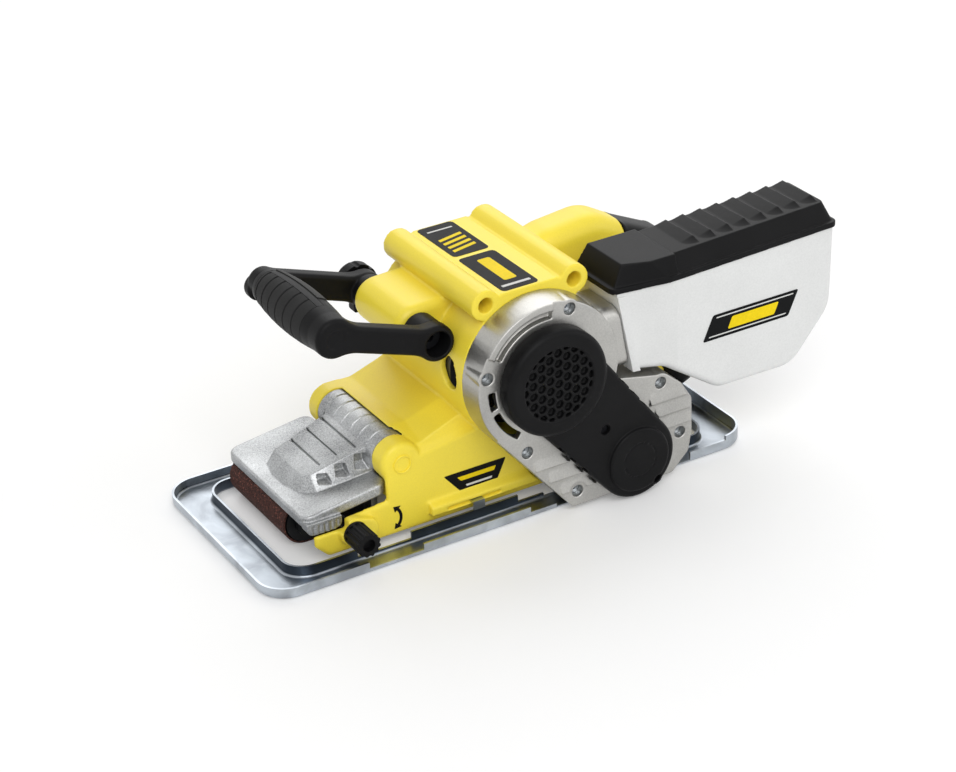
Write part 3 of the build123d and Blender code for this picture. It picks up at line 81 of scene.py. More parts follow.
class SanderSizes(bpy.types.PropertyGroup):
    """Sizes of the pieces that are made here."""

    mould_round: FloatProperty(
        name="Moulded edge", description="Grain at which the yellow housing's edges are rounded",
        default=0.9 * MM, min=0.6 * MM, max=3 * MM, subtype="DISTANCE", unit="LENGTH")
    cast_round: FloatProperty(
        name="Cast edge", description="Grain at which the cast pieces' edges are rounded",
        default=0.55 * MM, min=0.4 * MM, max=2 * MM, subtype="DISTANCE", unit="LENGTH")
    hood_round: FloatProperty(
        name="Hood edge", description="Grain at which the front hood's edges are rounded",
        default=0.42 * MM, min=0.3 * MM, max=2 * MM, subtype="DISTANCE", unit="LENGTH")
    black_round: FloatProperty(
        name="Black edge", description="Grain at which the black mouldings' edges are rounded",
        default=0.7 * MM, min=0.4 * MM, max=2 * MM, subtype="DISTANCE", unit="LENGTH")
    label_proud: FloatProperty(
        name="Label height", description="How far a printed label stands off its surface",
        default=0.2 * MM, min=0.05 * MM, max=0.5 * MM, subtype="DISTANCE", unit="LENGTH")
    grip_grooves: IntProperty(
        name="Grip grooves", description="Grooves across the ribbed face of the front grip",
        default=6, min=3, max=12)
    groove_pitch: FloatProperty(
        name="Groove pitch", description="Spacing of the grip's grooves",
        default=10.2 * MM, min=4 * MM, max=14 * MM, subtype="DISTANCE", unit="LENGTH")
    groove_deep: FloatProperty(
        name="Groove depth", description="Depth of the grip's grooves",
        default=0.9 * MM, min=0.2 * MM, max=1.5 * MM, subtype="DISTANCE", unit="LENGTH")


class SanderColours(bpy.types.PropertyGroup):
    """Colours as sRGB hex values."""

    shell: StringProperty(name="Shell", description="Yellow moulded housing", default="#FBE344")
    black: StringProperty(name="Black", description="Black nylon pieces", default="#101011")
    soft: StringProperty(name="Soft grip", description="Rubber of the grip", default="#1D1D1D")
    strip: StringProperty(name="Grip strip", description="Grey strip along the grip", default="#2B2B2A")
    cast: StringProperty(name="Cast", description="Cast aluminium", default="#B4B3AF")
    hood: StringProperty(name="Hood", description="Silver lacquer of the front hood", default="#A2A3A4")
    zinc: StringProperty(name="Zinc", description="Open faces of the zinc plated sheet", default="#B4BAC1")
    # Painted shade and dark reflection for the inside walls and floor of the zinc plated frame's channel.
    wall_shade: StringProperty(
        name="Painted wall shade", description="Inside walls of the zinc plated sheet", default="#4C545E")
    steel: StringProperty(name="Steel", description="Turned steel", default="#A8A9AB")
    oxide: StringProperty(
        name="Black steel", description="Blackened screws, bolts and roller", default="#17181A")
    box: StringProperty(name="Box", description="Translucent dust box", default="#E2E3E2")
    grit: StringProperty(name="Grit", description="Abrasive cloth", default="#3F2621")
    stripe: StringProperty(name="Stripe", description="Yellow of the printed stripes", default="#F2D41C")
    floor: StringProperty(name="Floor", description="Floor under the tool", default="#F0F0F0")


def linear(hexa):
    """sRGB hex text as a linear colour with alpha."""
    values = [int(hexa[i:i + 2], 16) / 255 for i in (1, 3, 5)]
    return [v / 12.92 if v <= 0.04045 else ((v + 0.055) / 1.055) ** 2.4 for v in values] + [1.0]


def shaded(hexa, factor):
    """The same hex colour made lighter or darker."""
    values = [min(255, max(0, round(int(hexa[i:i + 2], 16) * factor))) for i in (1, 3, 5)]
    return "#" + "".join(f"{v:02X}" for v in values)


def colour_of(name):
    """A colour that the user has set."""
    return getattr(bpy.context.scene.sander_colours, name)


def per_mm(size):
    """Texture scale at which one feature is this many millimetres wide."""
    return 1000.0 / size


def add(tree, kind, inputs=None, **settings):
    """Adds a node with its settings; an input takes a value or another node's socket."""
    node = tree.nodes.new(kind)
    for name, value in settings.items():
        setattr(node, name, value)
    for name, value in (inputs or {}).items():
        if isinstance(value, bpy.types.NodeSocket):
            tree.links.new(value, node.inputs[name])
        else:
            node.inputs[name].default_value = value
    return node


def start_material(name):
    """Empty material with its shader, output and object coordinates."""
    material = bpy.data.materials.new(name)
    material.use_nodes = True
    tree = material.node_tree
    tree.nodes.clear()
    place = add(tree, "ShaderNodeTexCoord").outputs["Object"]
    shader = add(tree, "ShaderNodeBsdfPrincipled")
    add(tree, "ShaderNodeOutputMaterial", {"Surface": shader.outputs["BSDF"]})
    return material, tree, place, shader


def grained(name, dark, light, grain_mm, blotch_mm, rough, bump, metallic=0.0, shine=0.5):
    """Surface with broad tone changes and a fine grain that also roughens and dents it."""
    material, tree, place, shader = start_material(name)
    blotch = add(tree, "ShaderNodeTexNoise",
                 {"Vector": place, "Scale": per_mm(blotch_mm), "Detail": 3.0})
    grain = add(tree, "ShaderNodeTexNoise",
                {"Vector": place, "Scale": per_mm(grain_mm), "Detail": 4.0, "Roughness": 0.6})
    mixed = add(tree, "ShaderNodeMath",
                {0: blotch.outputs["Fac"], 1: grain.outputs["Fac"]}, operation="ADD")
    tone = add(tree, "ShaderNodeMapRange",
               {"Value": mixed.outputs[0], "From Min": TONE_FROM, "From Max": TONE_TO})
    colour = add(tree, "ShaderNodeMix",
                 {0: tone.outputs[0], 6: linear(dark), 7: linear(light)}, data_type="RGBA")
    tree.links.new(colour.outputs[2], shader.inputs["Base Color"])
    gloss = add(tree, "ShaderNodeMapRange", {
        "Value": grain.outputs["Fac"], "From Min": GRAIN_FROM, "From Max": GRAIN_TO,
        "To Min": rough[0], "To Max": rough[1]})
    tree.links.new(gloss.outputs[0], shader.inputs["Roughness"])
    dents = add(tree, "ShaderNodeBump",
                {"Height": grain.outputs["Fac"], "Strength": bump, "Distance": DENT})
    tree.links.new(dents.outputs[0], shader.inputs["Normal"])
    shader.inputs["Metallic"].default_value = metallic
    shader.inputs["Specular IOR Level"].default_value = shine
    return material


def moulded_abs():
    """ABS, moulded: even satin yellow with a spark eroded grain, made 0.9 mm wide so that it shows."""
    tone = colour_of("shell")
    return grained("abs_moulded_yellow", shaded(tone, 0.97), shaded(tone, 1.02),
                   grain_mm=0.9, blotch_mm=70, rough=(0.34, 0.46), bump=0.05)


def moulded_nylon():
    """Glass filled nylon, moulded: near black and dull, with a fine spark eroded grain made 0.7 mm wide."""
    tone = colour_of("black")
    return grained("nylon_moulded_black", shaded(tone, 0.8), shaded(tone, 1.3),
                   grain_mm=0.7, blotch_mm=30, rough=(0.36, 0.5), bump=0.12, shine=0.11)


def soft_elastomer():
    """Thermoplastic rubber, moulded: charcoal, dull, with a dusty grain."""
    tone = colour_of("soft")
    return grained("elastomer_moulded_charcoal", shaded(tone, 0.8), shaded(tone, 1.4),
                   grain_mm=0.8, blotch_mm=24, rough=(0.6, 0.8), bump=0.2, shine=0.2)


def grey_elastomer():
    """Thermoplastic rubber, moulded in grey: the same dusty grain on a lighter ground."""
    tone = colour_of("strip")
    return grained("elastomer_moulded_grey", shaded(tone, 0.85), shaded(tone, 1.15),
                   grain_mm=0.8, blotch_mm=24, rough=(0.55, 0.75), bump=0.2, shine=0.25)


def cast_aluminium():
    """Aluminium, die cast and shot blasted: pale grey metal with soft flow marks and a fine pitted skin."""
    tone = colour_of("cast")
    return grained("aluminium_die_cast", shaded(tone, 0.9), shaded(tone, 1.06),
                   grain_mm=0.9, blotch_mm=40, rough=(0.3, 0.44), bump=0.14, metallic=1.0)


def lacquered_casting():
    """Aluminium, cast with a sanded skin under silver lacquer: bright specks on a coarse grain of 0.9 mm."""
    tone = colour_of("hood")
    return grained("aluminium_cast_lacquered", shaded(tone, 0.62), shaded(tone, 1.28),
                   grain_mm=0.9, blotch_mm=60, rough=(0.32, 0.55), bump=0.4, metallic=0.85)


def zinc_sheet():
    """Steel sheet, pressed and zinc plated: bluish metal, cloudy, with painted shade and dark reflection on
    the inside walls and floor of the channel.
    """
    material, tree, place, shader = start_material("steel_zinc_plated")
    tone = colour_of("zinc")
    cloud_mm, mark_mm, mark_stretch = 26, 1.4, 0.08
    clouds = add(tree, "ShaderNodeTexNoise",
                 {"Vector": place, "Scale": per_mm(cloud_mm), "Detail": 5.0, "Distortion": 0.6})
    along = add(tree, "ShaderNodeMapping", {"Vector": place, "Scale": (mark_stretch, 1.0, 1.0)})
    marks = add(tree, "ShaderNodeTexNoise",
                {"Vector": along.outputs[0], "Scale": per_mm(mark_mm), "Detail": 2.0})
    cloudy = add(tree, "ShaderNodeMapRange",
                 {"Value": clouds.outputs["Fac"], "From Min": 0.35, "From Max": 0.68})
    open_face = add(tree, "ShaderNodeMix", {
        0: cloudy.outputs[0], 6: linear(shaded(tone, 0.84)), 7: linear(shaded(tone, 1.08))}, data_type="RGBA")
    # Painted shade and dark reflection: this attribute is 1 on the channel's inside walls, a share on its
    # floor and 0 on open faces.
    wall = add(tree, "ShaderNodeAttribute", attribute_name="inside_wall_shade")
    colour = add(tree, "ShaderNodeMix", {
        0: wall.outputs["Fac"], 6: open_face.outputs[2], 7: linear(colour_of("wall_shade"))}, data_type="RGBA")
    tree.links.new(colour.outputs[2], shader.inputs["Base Color"])
    gloss = add(tree, "ShaderNodeMapRange",
                {"Value": clouds.outputs["Fac"], "To Min": 0.24, "To Max": 0.42})
    tree.links.new(gloss.outputs[0], shader.inputs["Roughness"])
    dents = add(tree, "ShaderNodeBump",
                {"Height": marks.outputs["Fac"], "Strength": 0.1, "Distance": DENT / 2})
    tree.links.new(dents.outputs[0], shader.inputs["Normal"])
    shader.inputs["Metallic"].default_value = 1.0
    return material


def turned_steel():
    """Steel, turned: bright and smooth, with fine uneven marks left by the tool."""
    tone = colour_of("steel")
    return grained("steel_turned", shaded(tone, 0.9), shaded(tone, 1.06),
                   grain_mm=0.5, blotch_mm=14, rough=(0.22, 0.34), bump=0.05, metallic=1.0)


def blackened_steel():
    """Steel, blackened in oil: near black with a soft sheen and paler rubbed specks."""
    tone = colour_of("oxide")
    return grained("steel_blackened", shaded(tone, 0.7), shaded(tone, 1.6),
                   grain_mm=0.6, blotch_mm=9, rough=(0.32, 0.5), bump=0.1, metallic=0.4, shine=0.3)


def sheet_stack():
    """Silicon steel, stamped and stacked: dark metal with the sheets' edges as fine lines, 0.9 mm apart."""
    material, tree, place, shader = start_material("silicon_steel_stacked")
    sheet_mm = 0.9
    lines = add(tree, "ShaderNodeTexWave",
                {"Vector": place, "Scale": per_mm(sheet_mm) / math.tau, "Distortion": 0.0},
                wave_type="BANDS", bands_direction="Y")
    colour = add(tree, "ShaderNodeMix",
                 {0: lines.outputs["Fac"], 6: linear("#3A3B3D"), 7: linear("#66676A")}, data_type="RGBA")
    tree.links.new(colour.outputs[2], shader.inputs["Base Color"])
    shader.inputs["Metallic"].default_value = 0.9
    shader.inputs["Roughness"].default_value = 0.4
    return material


def translucent_box():
    """Polypropylene, moulded: milky grey white with a soft gloss, cloudy where the wall is thicker."""
    tone = colour_of("box")
    material = grained("polypropylene_milky", shaded(tone, 0.97), shaded(tone, 1.02),
                       grain_mm=1.2, blotch_mm=55, rough=(0.3, 0.4), bump=0.0)
    shader = material.node_tree.nodes["Principled BSDF"]
    glow_deep = 4 * MM
    shader.inputs["Subsurface Weight"].default_value = 0.25
    shader.inputs["Subsurface Radius"].default_value = (glow_deep, glow_deep, glow_deep)
    shader.inputs["Subsurface Scale"].default_value = 1.0
    return material


def abrasive_cloth():
    """Aluminium oxide grit on cloth: dark red brown with pale and black grains, made 0.8 mm wide to show."""
    tone = colour_of("grit")
    grit_mm, dull_share = 0.8, 0.95
    material, tree, place, shader = start_material("aluminium_oxide_cloth")
    grains = add(tree, "ShaderNodeTexVoronoi", {"Vector": place, "Scale": per_mm(grit_mm)})
    speck = add(tree, "ShaderNodeSeparateColor", {"Color": grains.outputs["Color"]})
    dull = add(tree, "ShaderNodeMix", {
        0: speck.outputs[0], 6: linear(shaded(tone, 0.62)), 7: linear(shaded(tone, 1.4))}, data_type="RGBA")
    bright = add(tree, "ShaderNodeMath", {0: speck.outputs[1], 1: dull_share}, operation="GREATER_THAN")
    colour = add(tree, "ShaderNodeMix", {
        0: bright.outputs[0], 6: dull.outputs[2], 7: linear(shaded(tone, 2.1))}, data_type="RGBA")
    tree.links.new(colour.outputs[2], shader.inputs["Base Color"])
    dents = add(tree, "ShaderNodeBump",
                {"Height": grains.outputs["Distance"], "Strength": 0.7, "Distance": 2 * DENT}, invert=True)
    tree.links.new(dents.outputs[0], shader.inputs["Normal"])
    shader.inputs["Roughness"].default_value = 0.8
    shader.inputs["Specular IOR Level"].default_value = 0.25
    return material


def plain_finish(name, dark, light, grain_mm, rough, metallic):
    """Small hidden pieces: copper bars, pressed carbon and coated canvas, each with a fine grain."""
    return grained(name, dark, light, grain_mm, blotch_mm=12, rough=rough, bump=0.1, metallic=metallic)


def printed_vinyl(name, tone):
    """Vinyl film, printed: even colour under a smooth satin face with a faint orange peel."""
    return grained(name, shaded(tone, 0.96), shaded(tone, 1.04),
                   grain_mm=1.5, blotch_mm=40, rough=(0.34, 0.44), bump=0.03, shine=0.06)


def finish(name):
    """The shared material of a finish, made when it is first asked for."""
    makers = {
        "yellow_shell": moulded_abs, "black_plastic": moulded_nylon, "soft_grip": soft_elastomer,
        "grip_strip": grey_elastomer, "cast_aluminium": cast_aluminium, "hood": lacquered_casting,
        "zinc_steel": zinc_sheet, "bright_steel": turned_steel, "black_steel": blackened_steel,
        "lamination": sheet_stack, "box_plastic": translucent_box, "abrasive_cloth": abrasive_cloth,
        "copper": lambda: plain_finish("copper_turned", "#A5603F", "#C98258", 0.6, (0.2, 0.34), 1.0),
        "carbon": lambda: plain_finish("carbon_pressed", "#232323", "#333333", 0.5, (0.5, 0.7), 0.0),
        "graphite_canvas": lambda: plain_finish(
            "canvas_graphite_coated", "#2A2B2D", "#3C3E41", 0.8, (0.45, 0.65), 0.2),
        "label_black": lambda: printed_vinyl("vinyl_printed_black", "#141516"),
        "label_stripe": lambda: printed_vinyl("vinyl_printed_yellow", colour_of("stripe")),
        "label_pale": lambda: printed_vinyl("vinyl_printed_pale", "#D9D9D6"),
    }
    if name not in FINISHES:
        FINISHES[name] = makers[name]()
    return FINISHES[name]


def place_piece(bm, name, body, materials, crease=35):
    """Makes a bmesh an object that rides on a body, sharp where faces meet at more than the crease."""
    mesh = bpy.data.meshes.new(name)
    bm.to_mesh(mesh)
    bm.free()
    mesh.shade_smooth()
    mesh.set_sharp_from_angle(angle=math.radians(crease))
    piece = bpy.data.objects.new(name, mesh)
    bpy.context.scene.collection.objects.link(piece)
    for material in materials:
        mesh.materials.append(finish(material))
    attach(piece, body)
    return piece


def solid_copy(nodes):
    """Merged copy of the meshes of some solids."""
    bm = bmesh.new()
    for node in nodes:
        bm.from_mesh(NODES[node].data)
    bmesh.ops.remove_doubles(bm, verts=bm.verts, dist=WELD)
    return bm


def moulded_copy(nodes, name, body, material, grain, rounds, most):
    """Joins copies of solids into one skin and rounds its edges, as a moulding or casting has them."""
    piece = place_piece(solid_copy(nodes), name, body, [])
    skin = piece.modifiers.new("skin", "REMESH")
    skin.mode = "VOXEL"
    skin.voxel_size = grain
    skin.use_smooth_shade = True
    ease = piece.modifiers.new("ease", "SMOOTH")
    ease.factor = 0.5
    ease.iterations = rounds
    shaped = piece.evaluated_get(bpy.context.evaluated_depsgraph_get())
    count = 2 * len(shaped.data.polygons)
    thin = piece.modifiers.new("thin", "DECIMATE")
    thin.ratio = min(1.0, most / count)
    flat = piece.modifiers.new("flat", "WEIGHTED_NORMAL")
    flat.weight = 60
    shaped = piece.evaluated_get(bpy.context.evaluated_depsgraph_get())
    mesh = bpy.data.meshes.new_from_object(shaped)
    piece.modifiers.clear()
    piece.data = mesh
    mesh.materials.clear()
    mesh.materials.append(finish(material))
    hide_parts(*nodes)
    return piece


def swept(bm, profile, axis_x, axis_z, start, sweep, steps, material):
    """Sweeps a closed profile of y and radius round a line along Y, from one angle on through another."""
    known = set(bm.faces)
    turn = math.radians(start)
    verts = [bm.verts.new((axis_x + radius * math.cos(turn), y, axis_z + radius * math.sin(turn)))
             for y, radius in profile]
    whole = sweep >= 360
    edges = [bm.edges.new(pair) for pair in zip(verts, verts[1:] + verts[:1])]
    faces = [] if whole else [bm.faces.new(verts)]
    bmesh.ops.spin(bm, geom=verts + edges + faces, cent=(axis_x, 0, axis_z), axis=(0, -1, 0),
                   angle=math.radians(sweep), steps=steps, use_merge=whole, use_duplicate=False)
    for face in bm.faces:
        if face not in known:
            face.material_index = material


def film(bm, corners, out, lift, bend, material):
    """One printed patch with rounded corners, raised off its surface."""
    known = set(bm.faces)
    verts = [bm.verts.new(corner) for corner in corners]
    bm.faces.new(verts)
    if bend:
        bmesh.ops.bevel(bm, geom=verts, offset=bend, offset_type="OFFSET", segments=4, profile=0.5,
                        affect="VERTICES", material=-1)
    fresh = [face for face in bm.faces if face not in known]
    raised = bmesh.ops.extrude_face_region(bm, geom=fresh, use_keep_orig=True)
    moved = [item for item in raised["geom"] if isinstance(item, bmesh.types.BMVert)]
    bmesh.ops.translate(bm, verts=moved, vec=Vector(out) * lift)
    for face in bm.faces:
        if face not in known:
            face.material_index = material


def ray_mask(tree):
    """1 for rays that see the background straight, in a mirror or through glass, 0 for the rest."""
    rays = add(tree, "ShaderNodeLightPath")
    seen = add(tree, "ShaderNodeMath",
               {0: rays.outputs["Is Camera Ray"], 1: rays.outputs["Is Glossy Ray"]}, operation="MAXIMUM")
    return add(tree, "ShaderNodeMath",
               {0: seen.outputs[0], 1: rays.outputs["Is Transmission Ray"]}, operation="MAXIMUM").outputs[0]


class SANDER_OT_stage(bpy.types.Operator):
    """Floor, soft light and the camera"""
    bl_idname = "sander.stage"
    bl_label = "Stage"

    SKY_STRENGTH = 0.5
    FLOOR_HALF = 6.0
    FLOOR_GLOW = 0.14
    FLOOR_ROUGH = 0.9
    # Name, where the light comes from, strength and spread in degrees.
    LAMPS = (("key", (-0.3, -0.8, 0.85), 1.25, 40), ("back", (0.45, 0.7, 0.75), 0.9, 50),
             ("side", (0.85, -0.6, 0.4), 0.35, 40))
    LENS = 98.93
    SENSOR = 36.0
    NEAREST, FARTHEST = 0.01, 30.0
    EYE = (-0.6883, -1.3147, 0.8537)
    RIGHT = (0.8606, -0.5075, -0.044)
    UP = (0.2735, 0.3874, 0.8804)
    BACK = (-0.4297, -0.7697, 0.4721)

    def execute(self, context):
        context.scene.view_settings.view_transform = "Standard"
        self.sky(context)
        self.floor(context)
        self.lamps(context)
        self.camera(context)
        return {"FINISHED"}

    def sky(self, context):
        world = bpy.data.worlds.new("studio")
        context.scene.world = world
        world.use_nodes = True
        tree = world.node_tree
        tree.nodes.clear()
        soft = add(tree, "ShaderNodeBackground", {"Color": WHITE, "Strength": self.SKY_STRENGTH})
        white = add(tree, "ShaderNodeBackground", {"Color": WHITE, "Strength": 1.0})
        both = add(tree, "ShaderNodeMixShader",
                   {0: ray_mask(tree), 1: soft.outputs[0], 2: white.outputs[0]})
        add(tree, "ShaderNodeOutputWorld", {"Surface": both.outputs[0]})

    def floor(self, context):
        bm = bmesh.new()
        bmesh.ops.create_grid(bm, x_segments=1, y_segments=1, size=self.FLOOR_HALF)
        mesh = bpy.data.meshes.new("floor")
        bm.to_mesh(mesh)
        bm.free()
        floor = bpy.data.objects.new("floor", mesh)
        context.scene.collection.objects.link(floor)
        material, tree, _, shader = start_material("paper_backdrop")
        shader.inputs["Base Color"].default_value = linear(colour_of("floor"))
        shader.inputs["Roughness"].default_value = self.FLOOR_ROUGH
        shader.inputs["Emission Color"].default_value = WHITE
        glow = add(tree, "ShaderNodeMath", {0: ray_mask(tree), 1: self.FLOOR_GLOW}, operation="MULTIPLY")
        tree.links.new(glow.outputs[0], shader.inputs["Emission Strength"])
        mesh.materials.append(material)

    def lamps(self, context):
        for name, source, power, spread in self.LAMPS:
            lamp = bpy.data.lights.new(name, "SUN")
            lamp.energy = power
            lamp.angle = math.radians(spread)
            holder = bpy.data.objects.new(name, lamp)
            holder.location = source
            holder.rotation_euler = (-Vector(source)).to_track_quat("-Z", "Y").to_euler()
            context.scene.collection.objects.link(holder)

    def camera(self, context):
        lens = bpy.data.cameras.new("camera")
        lens.sensor_fit = "HORIZONTAL"
        lens.sensor_width = self.SENSOR
        lens.lens = self.LENS
        lens.clip_start = self.NEAREST
        lens.clip_end = self.FARTHEST
        camera = bpy.data.objects.new("camera", lens)
        turn = Matrix((self.RIGHT, self.UP, self.BACK)).transposed().to_4x4()
        camera.matrix_world = Matrix.Translation(self.EYE) @ turn
        context.scene.collection.objects.link(camera)
        context.scene.camera = camera


class SANDER_OT_finishes(bpy.types.Operator):
    """Procedural finish on every solid that is carried over"""
    bl_idname = "sander.finishes"
    bl_label = "Finishes"

    def execute(self, context):
        for row in frame["record"]["subparts"]:
            solid = NODES[row["node"]]
            solid.data.materials.clear()
            solid.data.materials.append(finish(row["material_slot"]))
        return {"FINISHED"}


class SANDER_OT_housing(bpy.types.Operator):
    """Yellow moulded housing as one skin"""
    bl_idname = "sander.housing"
    bl_label = "Housing"

    def execute(self, context):
        sizes = context.scene.sander_sizes
        moulded_copy(["motor_housing", "base_housing"], "housing_skin", "base",
                     "yellow_shell", sizes.mould_round, 4, PALE_MOST)
        return {"FINISHED"}


class SANDER_OT_castings(bpy.types.Operator):
    """Cast gear case and front hood with eased edges"""
    bl_idname = "sander.castings"
    bl_label = "Castings"

    def execute(self, context):
        sizes = context.scene.sander_sizes
        moulded_copy(["gear_housing"], "gear_case", "base", "cast_aluminium",
                     sizes.cast_round, 3, PALE_MOST)
        moulded_copy(["front_cover"], "front_hood", "cover", "hood",
                     sizes.hood_round, 2, PALE_MOST)
        return {"FINISHED"}


class SANDER_OT_pressing(bpy.types.Operator):
    """Pressed steel frame, with painted shade and dark reflection laid on the inside walls and floor of its
    channel
    """
    bl_idname = "sander.pressing"
    bl_label = "Pressed frame"

    CORNER = 20 * MM
    SHEET = 1.6 * MM
    LIP = 9.1 * MM
    # Share of the painted shade laid on the channel's floor.
    FLOOR_SHADE = 0.22
    # Upward share of a face's normal below which it is a wall, and the range over which it becomes a floor.
    WALL_UNTIL = 0.3
    WALL_FADE = 0.6

    def execute(self, context):
        low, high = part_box("sanding_frame")
        middle, half = (low + high) / 2, (high - low) / 2

        def depth(point):
            """How far inside the frame's rounded outline a point lies."""
            side = [abs(point[i] - middle[i]) - half[i] + self.CORNER for i in (0, 1)]
            beyond = math.hypot(max(side[0], 0), max(side[1], 0))
            return self.CORNER - beyond - min(max(side), 0)

        bm = solid_copy(["sanding_frame"])
        layer = bm.loops.layers.float.new("inside_wall_shade")
        # Painted shade: faces inside the channel and below the lip get the dark tone, in full on steep walls.
        for face in bm.faces:
            middle_point = face.calc_center_median()
            wall_shade = depth(middle_point) > self.SHEET and middle_point.z < self.LIP
            steep = 1 - min(1, max(0, (abs(face.normal.z) - self.WALL_UNTIL) / self.WALL_FADE))
            for loop in face.loops:
                loop[layer] = max(steep, self.FLOOR_SHADE) if wall_shade else 0
        piece = place_piece(bm, "frame_pressing", "base", ["zinc_steel"], 25)
        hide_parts("sanding_frame")
        return {"FINISHED"}


class SANDER_OT_black_pieces(bpy.types.Operator):
    """Front handle, rear grip, box lid and drive cover with eased edges"""
    bl_idname = "sander.black_pieces"
    bl_label = "Black mouldings"

    # Pieces that sit in the rear grip or against it, with the room in millimetres that stays as it is.
    SEATS = (("trigger", 6.0), ("lock_button", 4.0), ("switch_block", 3.0), ("cord_gland", 2.0),
             ("motor_housing", 2.0), ("base_housing", 1.5))
    BEND_ROUNDS = 160

    def execute(self, context):
        sizes = context.scene.sander_sizes
        for node, name, body, grain, rounds in (
                ("front_handle", "bail_arms", "bail", sizes.black_round, 3),
                ("dust_lid", "lid_shell", "lid", sizes.cast_round, 2),
                ("drive_cover", "belt_cover", "base", sizes.cast_round, 2)):
            moulded_copy([node], name, body, "black_plastic", grain, rounds, BLACK_MOST)
        grip = moulded_copy(["rear_grip"], "rear_handle", "base", "black_plastic",
                            sizes.cast_round, 3, BLACK_MOST)
        self.round_bends(grip)
        return {"FINISHED"}

    def round_bends(self, grip):
        """Rounds the rear grip's broad bends, and leaves its seats for other pieces as they are."""
        seats = [(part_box(node), room * MM) for node, room in self.SEATS]
        mesh = grip.data
        for layer in [item for item in mesh.attributes if item.name == "custom_normal"]:
            mesh.attributes.remove(layer)
        bm = bmesh.new()
        bm.from_mesh(mesh)
        free = [vert for vert in bm.verts if not any(
            all(low[i] - room < vert.co[i] < high[i] + room for i in range(3))
            for (low, high), room in seats)]
        for _ in range(self.BEND_ROUNDS):
            bmesh.ops.smooth_vert(bm, verts=free, factor=0.5,
                                  use_axis_x=True, use_axis_y=True, use_axis_z=True)
        bm.to_mesh(mesh)
        bm.free()
        mesh.shade_smooth()


class SANDER_OT_front_grip(bpy.types.Operator):
    """Barrel of the front grip: ribbed face, smooth shoulder, grey strip and plain ends"""
    bl_idname = "sander.front_grip"
    bl_label = "Front grip"

    BORE = 9.2 * MM
    NEAR_END = 13.0 * MM
    FAR_END = 11.5 * MM
    INTO_ARM = 4.0 * MM
    NEAR_BAND = -51.2 * MM
    FAR_BAND = 13.0 * MM
    STRIP_END = -41.5 * MM
    GAP = 0.35 * MM
    END_GAP = 0.1 * MM
    CORE_SINK = 1.0 * MM
    FACE_SINK = 0.1 * MM
    STRIP_LIFT = 0.5 * MM
    # First and last angle, in degrees, of each face round the barrel.
    RIBBED = (95, 330)
    SHOULDER = (76, 93.5)
    STRIP = (49, 74)
    PAST_STRIP = (49, 74.5)
    INNER = (331.5, 407.5)
    STEP_ANGLE = 6
    ROUND_STEPS = 60
    BARREL_STEPS = 12
    # Half a groove's clear width, and its profile as a place in millimetres and a share of its depth.
    GROOVE_ROOM = 1.4 * MM
    GROOVE = ((-0.8, 0), (-0.4, 1), (0.4, 1), (0.8, 0))

    def execute(self, context):
        sizes = context.scene.sander_sizes
        low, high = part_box("front_grip")
        axis_x, axis_z = (low.x + high.x) / 2, (low.z + high.z) / 2
        middle, half = (low.y + high.y) / 2, (high.y - low.y) / 2
        full = (high.x - low.x) / 2

        def reach(y):
            """Radius of the barrel, fullest near its middle and fatter at its near end."""
            along = min(1, max(-1, (y - middle) / half))
            ends = (self.NEAR_END + self.FAR_END) / 2
            return ends + (self.FAR_END - self.NEAR_END) / 2 * along + (full - ends) * (1 - along ** 2)

        def barrel(start, end, lift, grooves=()):
            """Closed profile that follows the barrel between two places, with grooves across it."""
            places = [start + (end - start) * i / self.BARREL_STEPS for i in range(self.BARREL_STEPS + 1)]
            line = [(y, reach(y) + lift) for y in places
                    if all(abs(y - groove) > self.GROOVE_ROOM for groove in grooves)]
            for groove in grooves:
                for shift, deep in self.GROOVE:
                    line.append((groove + shift * MM, reach(groove) + lift - deep * sizes.groove_deep))
            return sorted(line) + [(end, self.BORE), (start, self.BORE)]

        bm = bmesh.new()

        def sector(start, end, lift, angles, material, grooves=()):
            """A face that goes part of the way round the barrel."""
            first, last = angles
            steps = max(4, round((last - first) / self.STEP_ANGLE))
            swept(bm, barrel(start, end, lift, grooves), axis_x, axis_z, first, last - first, steps, material)

        def ring(start, end, lift):
            """A hard black band that goes all the way round the barrel."""
            swept(bm, barrel(start, end, lift), axis_x, axis_z, 0, 360, self.ROUND_STEPS, hard)

        rubber, hard, strip = 0, 1, 2
        near, far = self.NEAR_BAND + self.GAP, self.FAR_BAND - self.GAP
        grooves = [self.NEAR_BAND + sizes.groove_pitch * (i + 1) for i in range(sizes.grip_grooves)]
        grooves = [groove for groove in grooves if groove < far - 2 * MM]
        ring(low.y + self.END_GAP, high.y - self.END_GAP, -self.CORE_SINK)
        ring(low.y - self.INTO_ARM, self.NEAR_BAND, 0)
        ring(self.FAR_BAND, high.y, 0)
        sector(near, far, 0, self.RIBBED, rubber, grooves)
        sector(near, far, -self.FACE_SINK, self.SHOULDER, hard)
        sector(self.STRIP_END, far, self.STRIP_LIFT, self.STRIP, strip)
        sector(near, self.STRIP_END - self.GAP, -self.FACE_SINK, self.PAST_STRIP, hard)
        sector(near, far, -self.FACE_SINK, self.INNER, hard)
        bmesh.ops.remove_doubles(bm, verts=bm.verts, dist=WELD)
        bmesh.ops.recalc_face_normals(bm, faces=bm.faces)
        barrel_piece = place_piece(bm, "grip_barrel", "bail",
                                   ["soft_grip", "black_plastic", "grip_strip"], 30)
        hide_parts("front_grip")
        return {"FINISHED"}


class SANDER_OT_spring(bpy.types.Operator):
    """Tension spring, copied onto the base with its own mesh; the real spring shortens as the carriage goes
    back
    """
    bl_idname = "sander.spring"
    bl_label = "Tension spring"

    def execute(self, context):
        piece = place_piece(solid_copy(["tension_spring"]), "spring_coil", "base",
                            ["bright_steel"])
        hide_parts("tension_spring")
        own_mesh(piece)
        return {"FINISHED"}


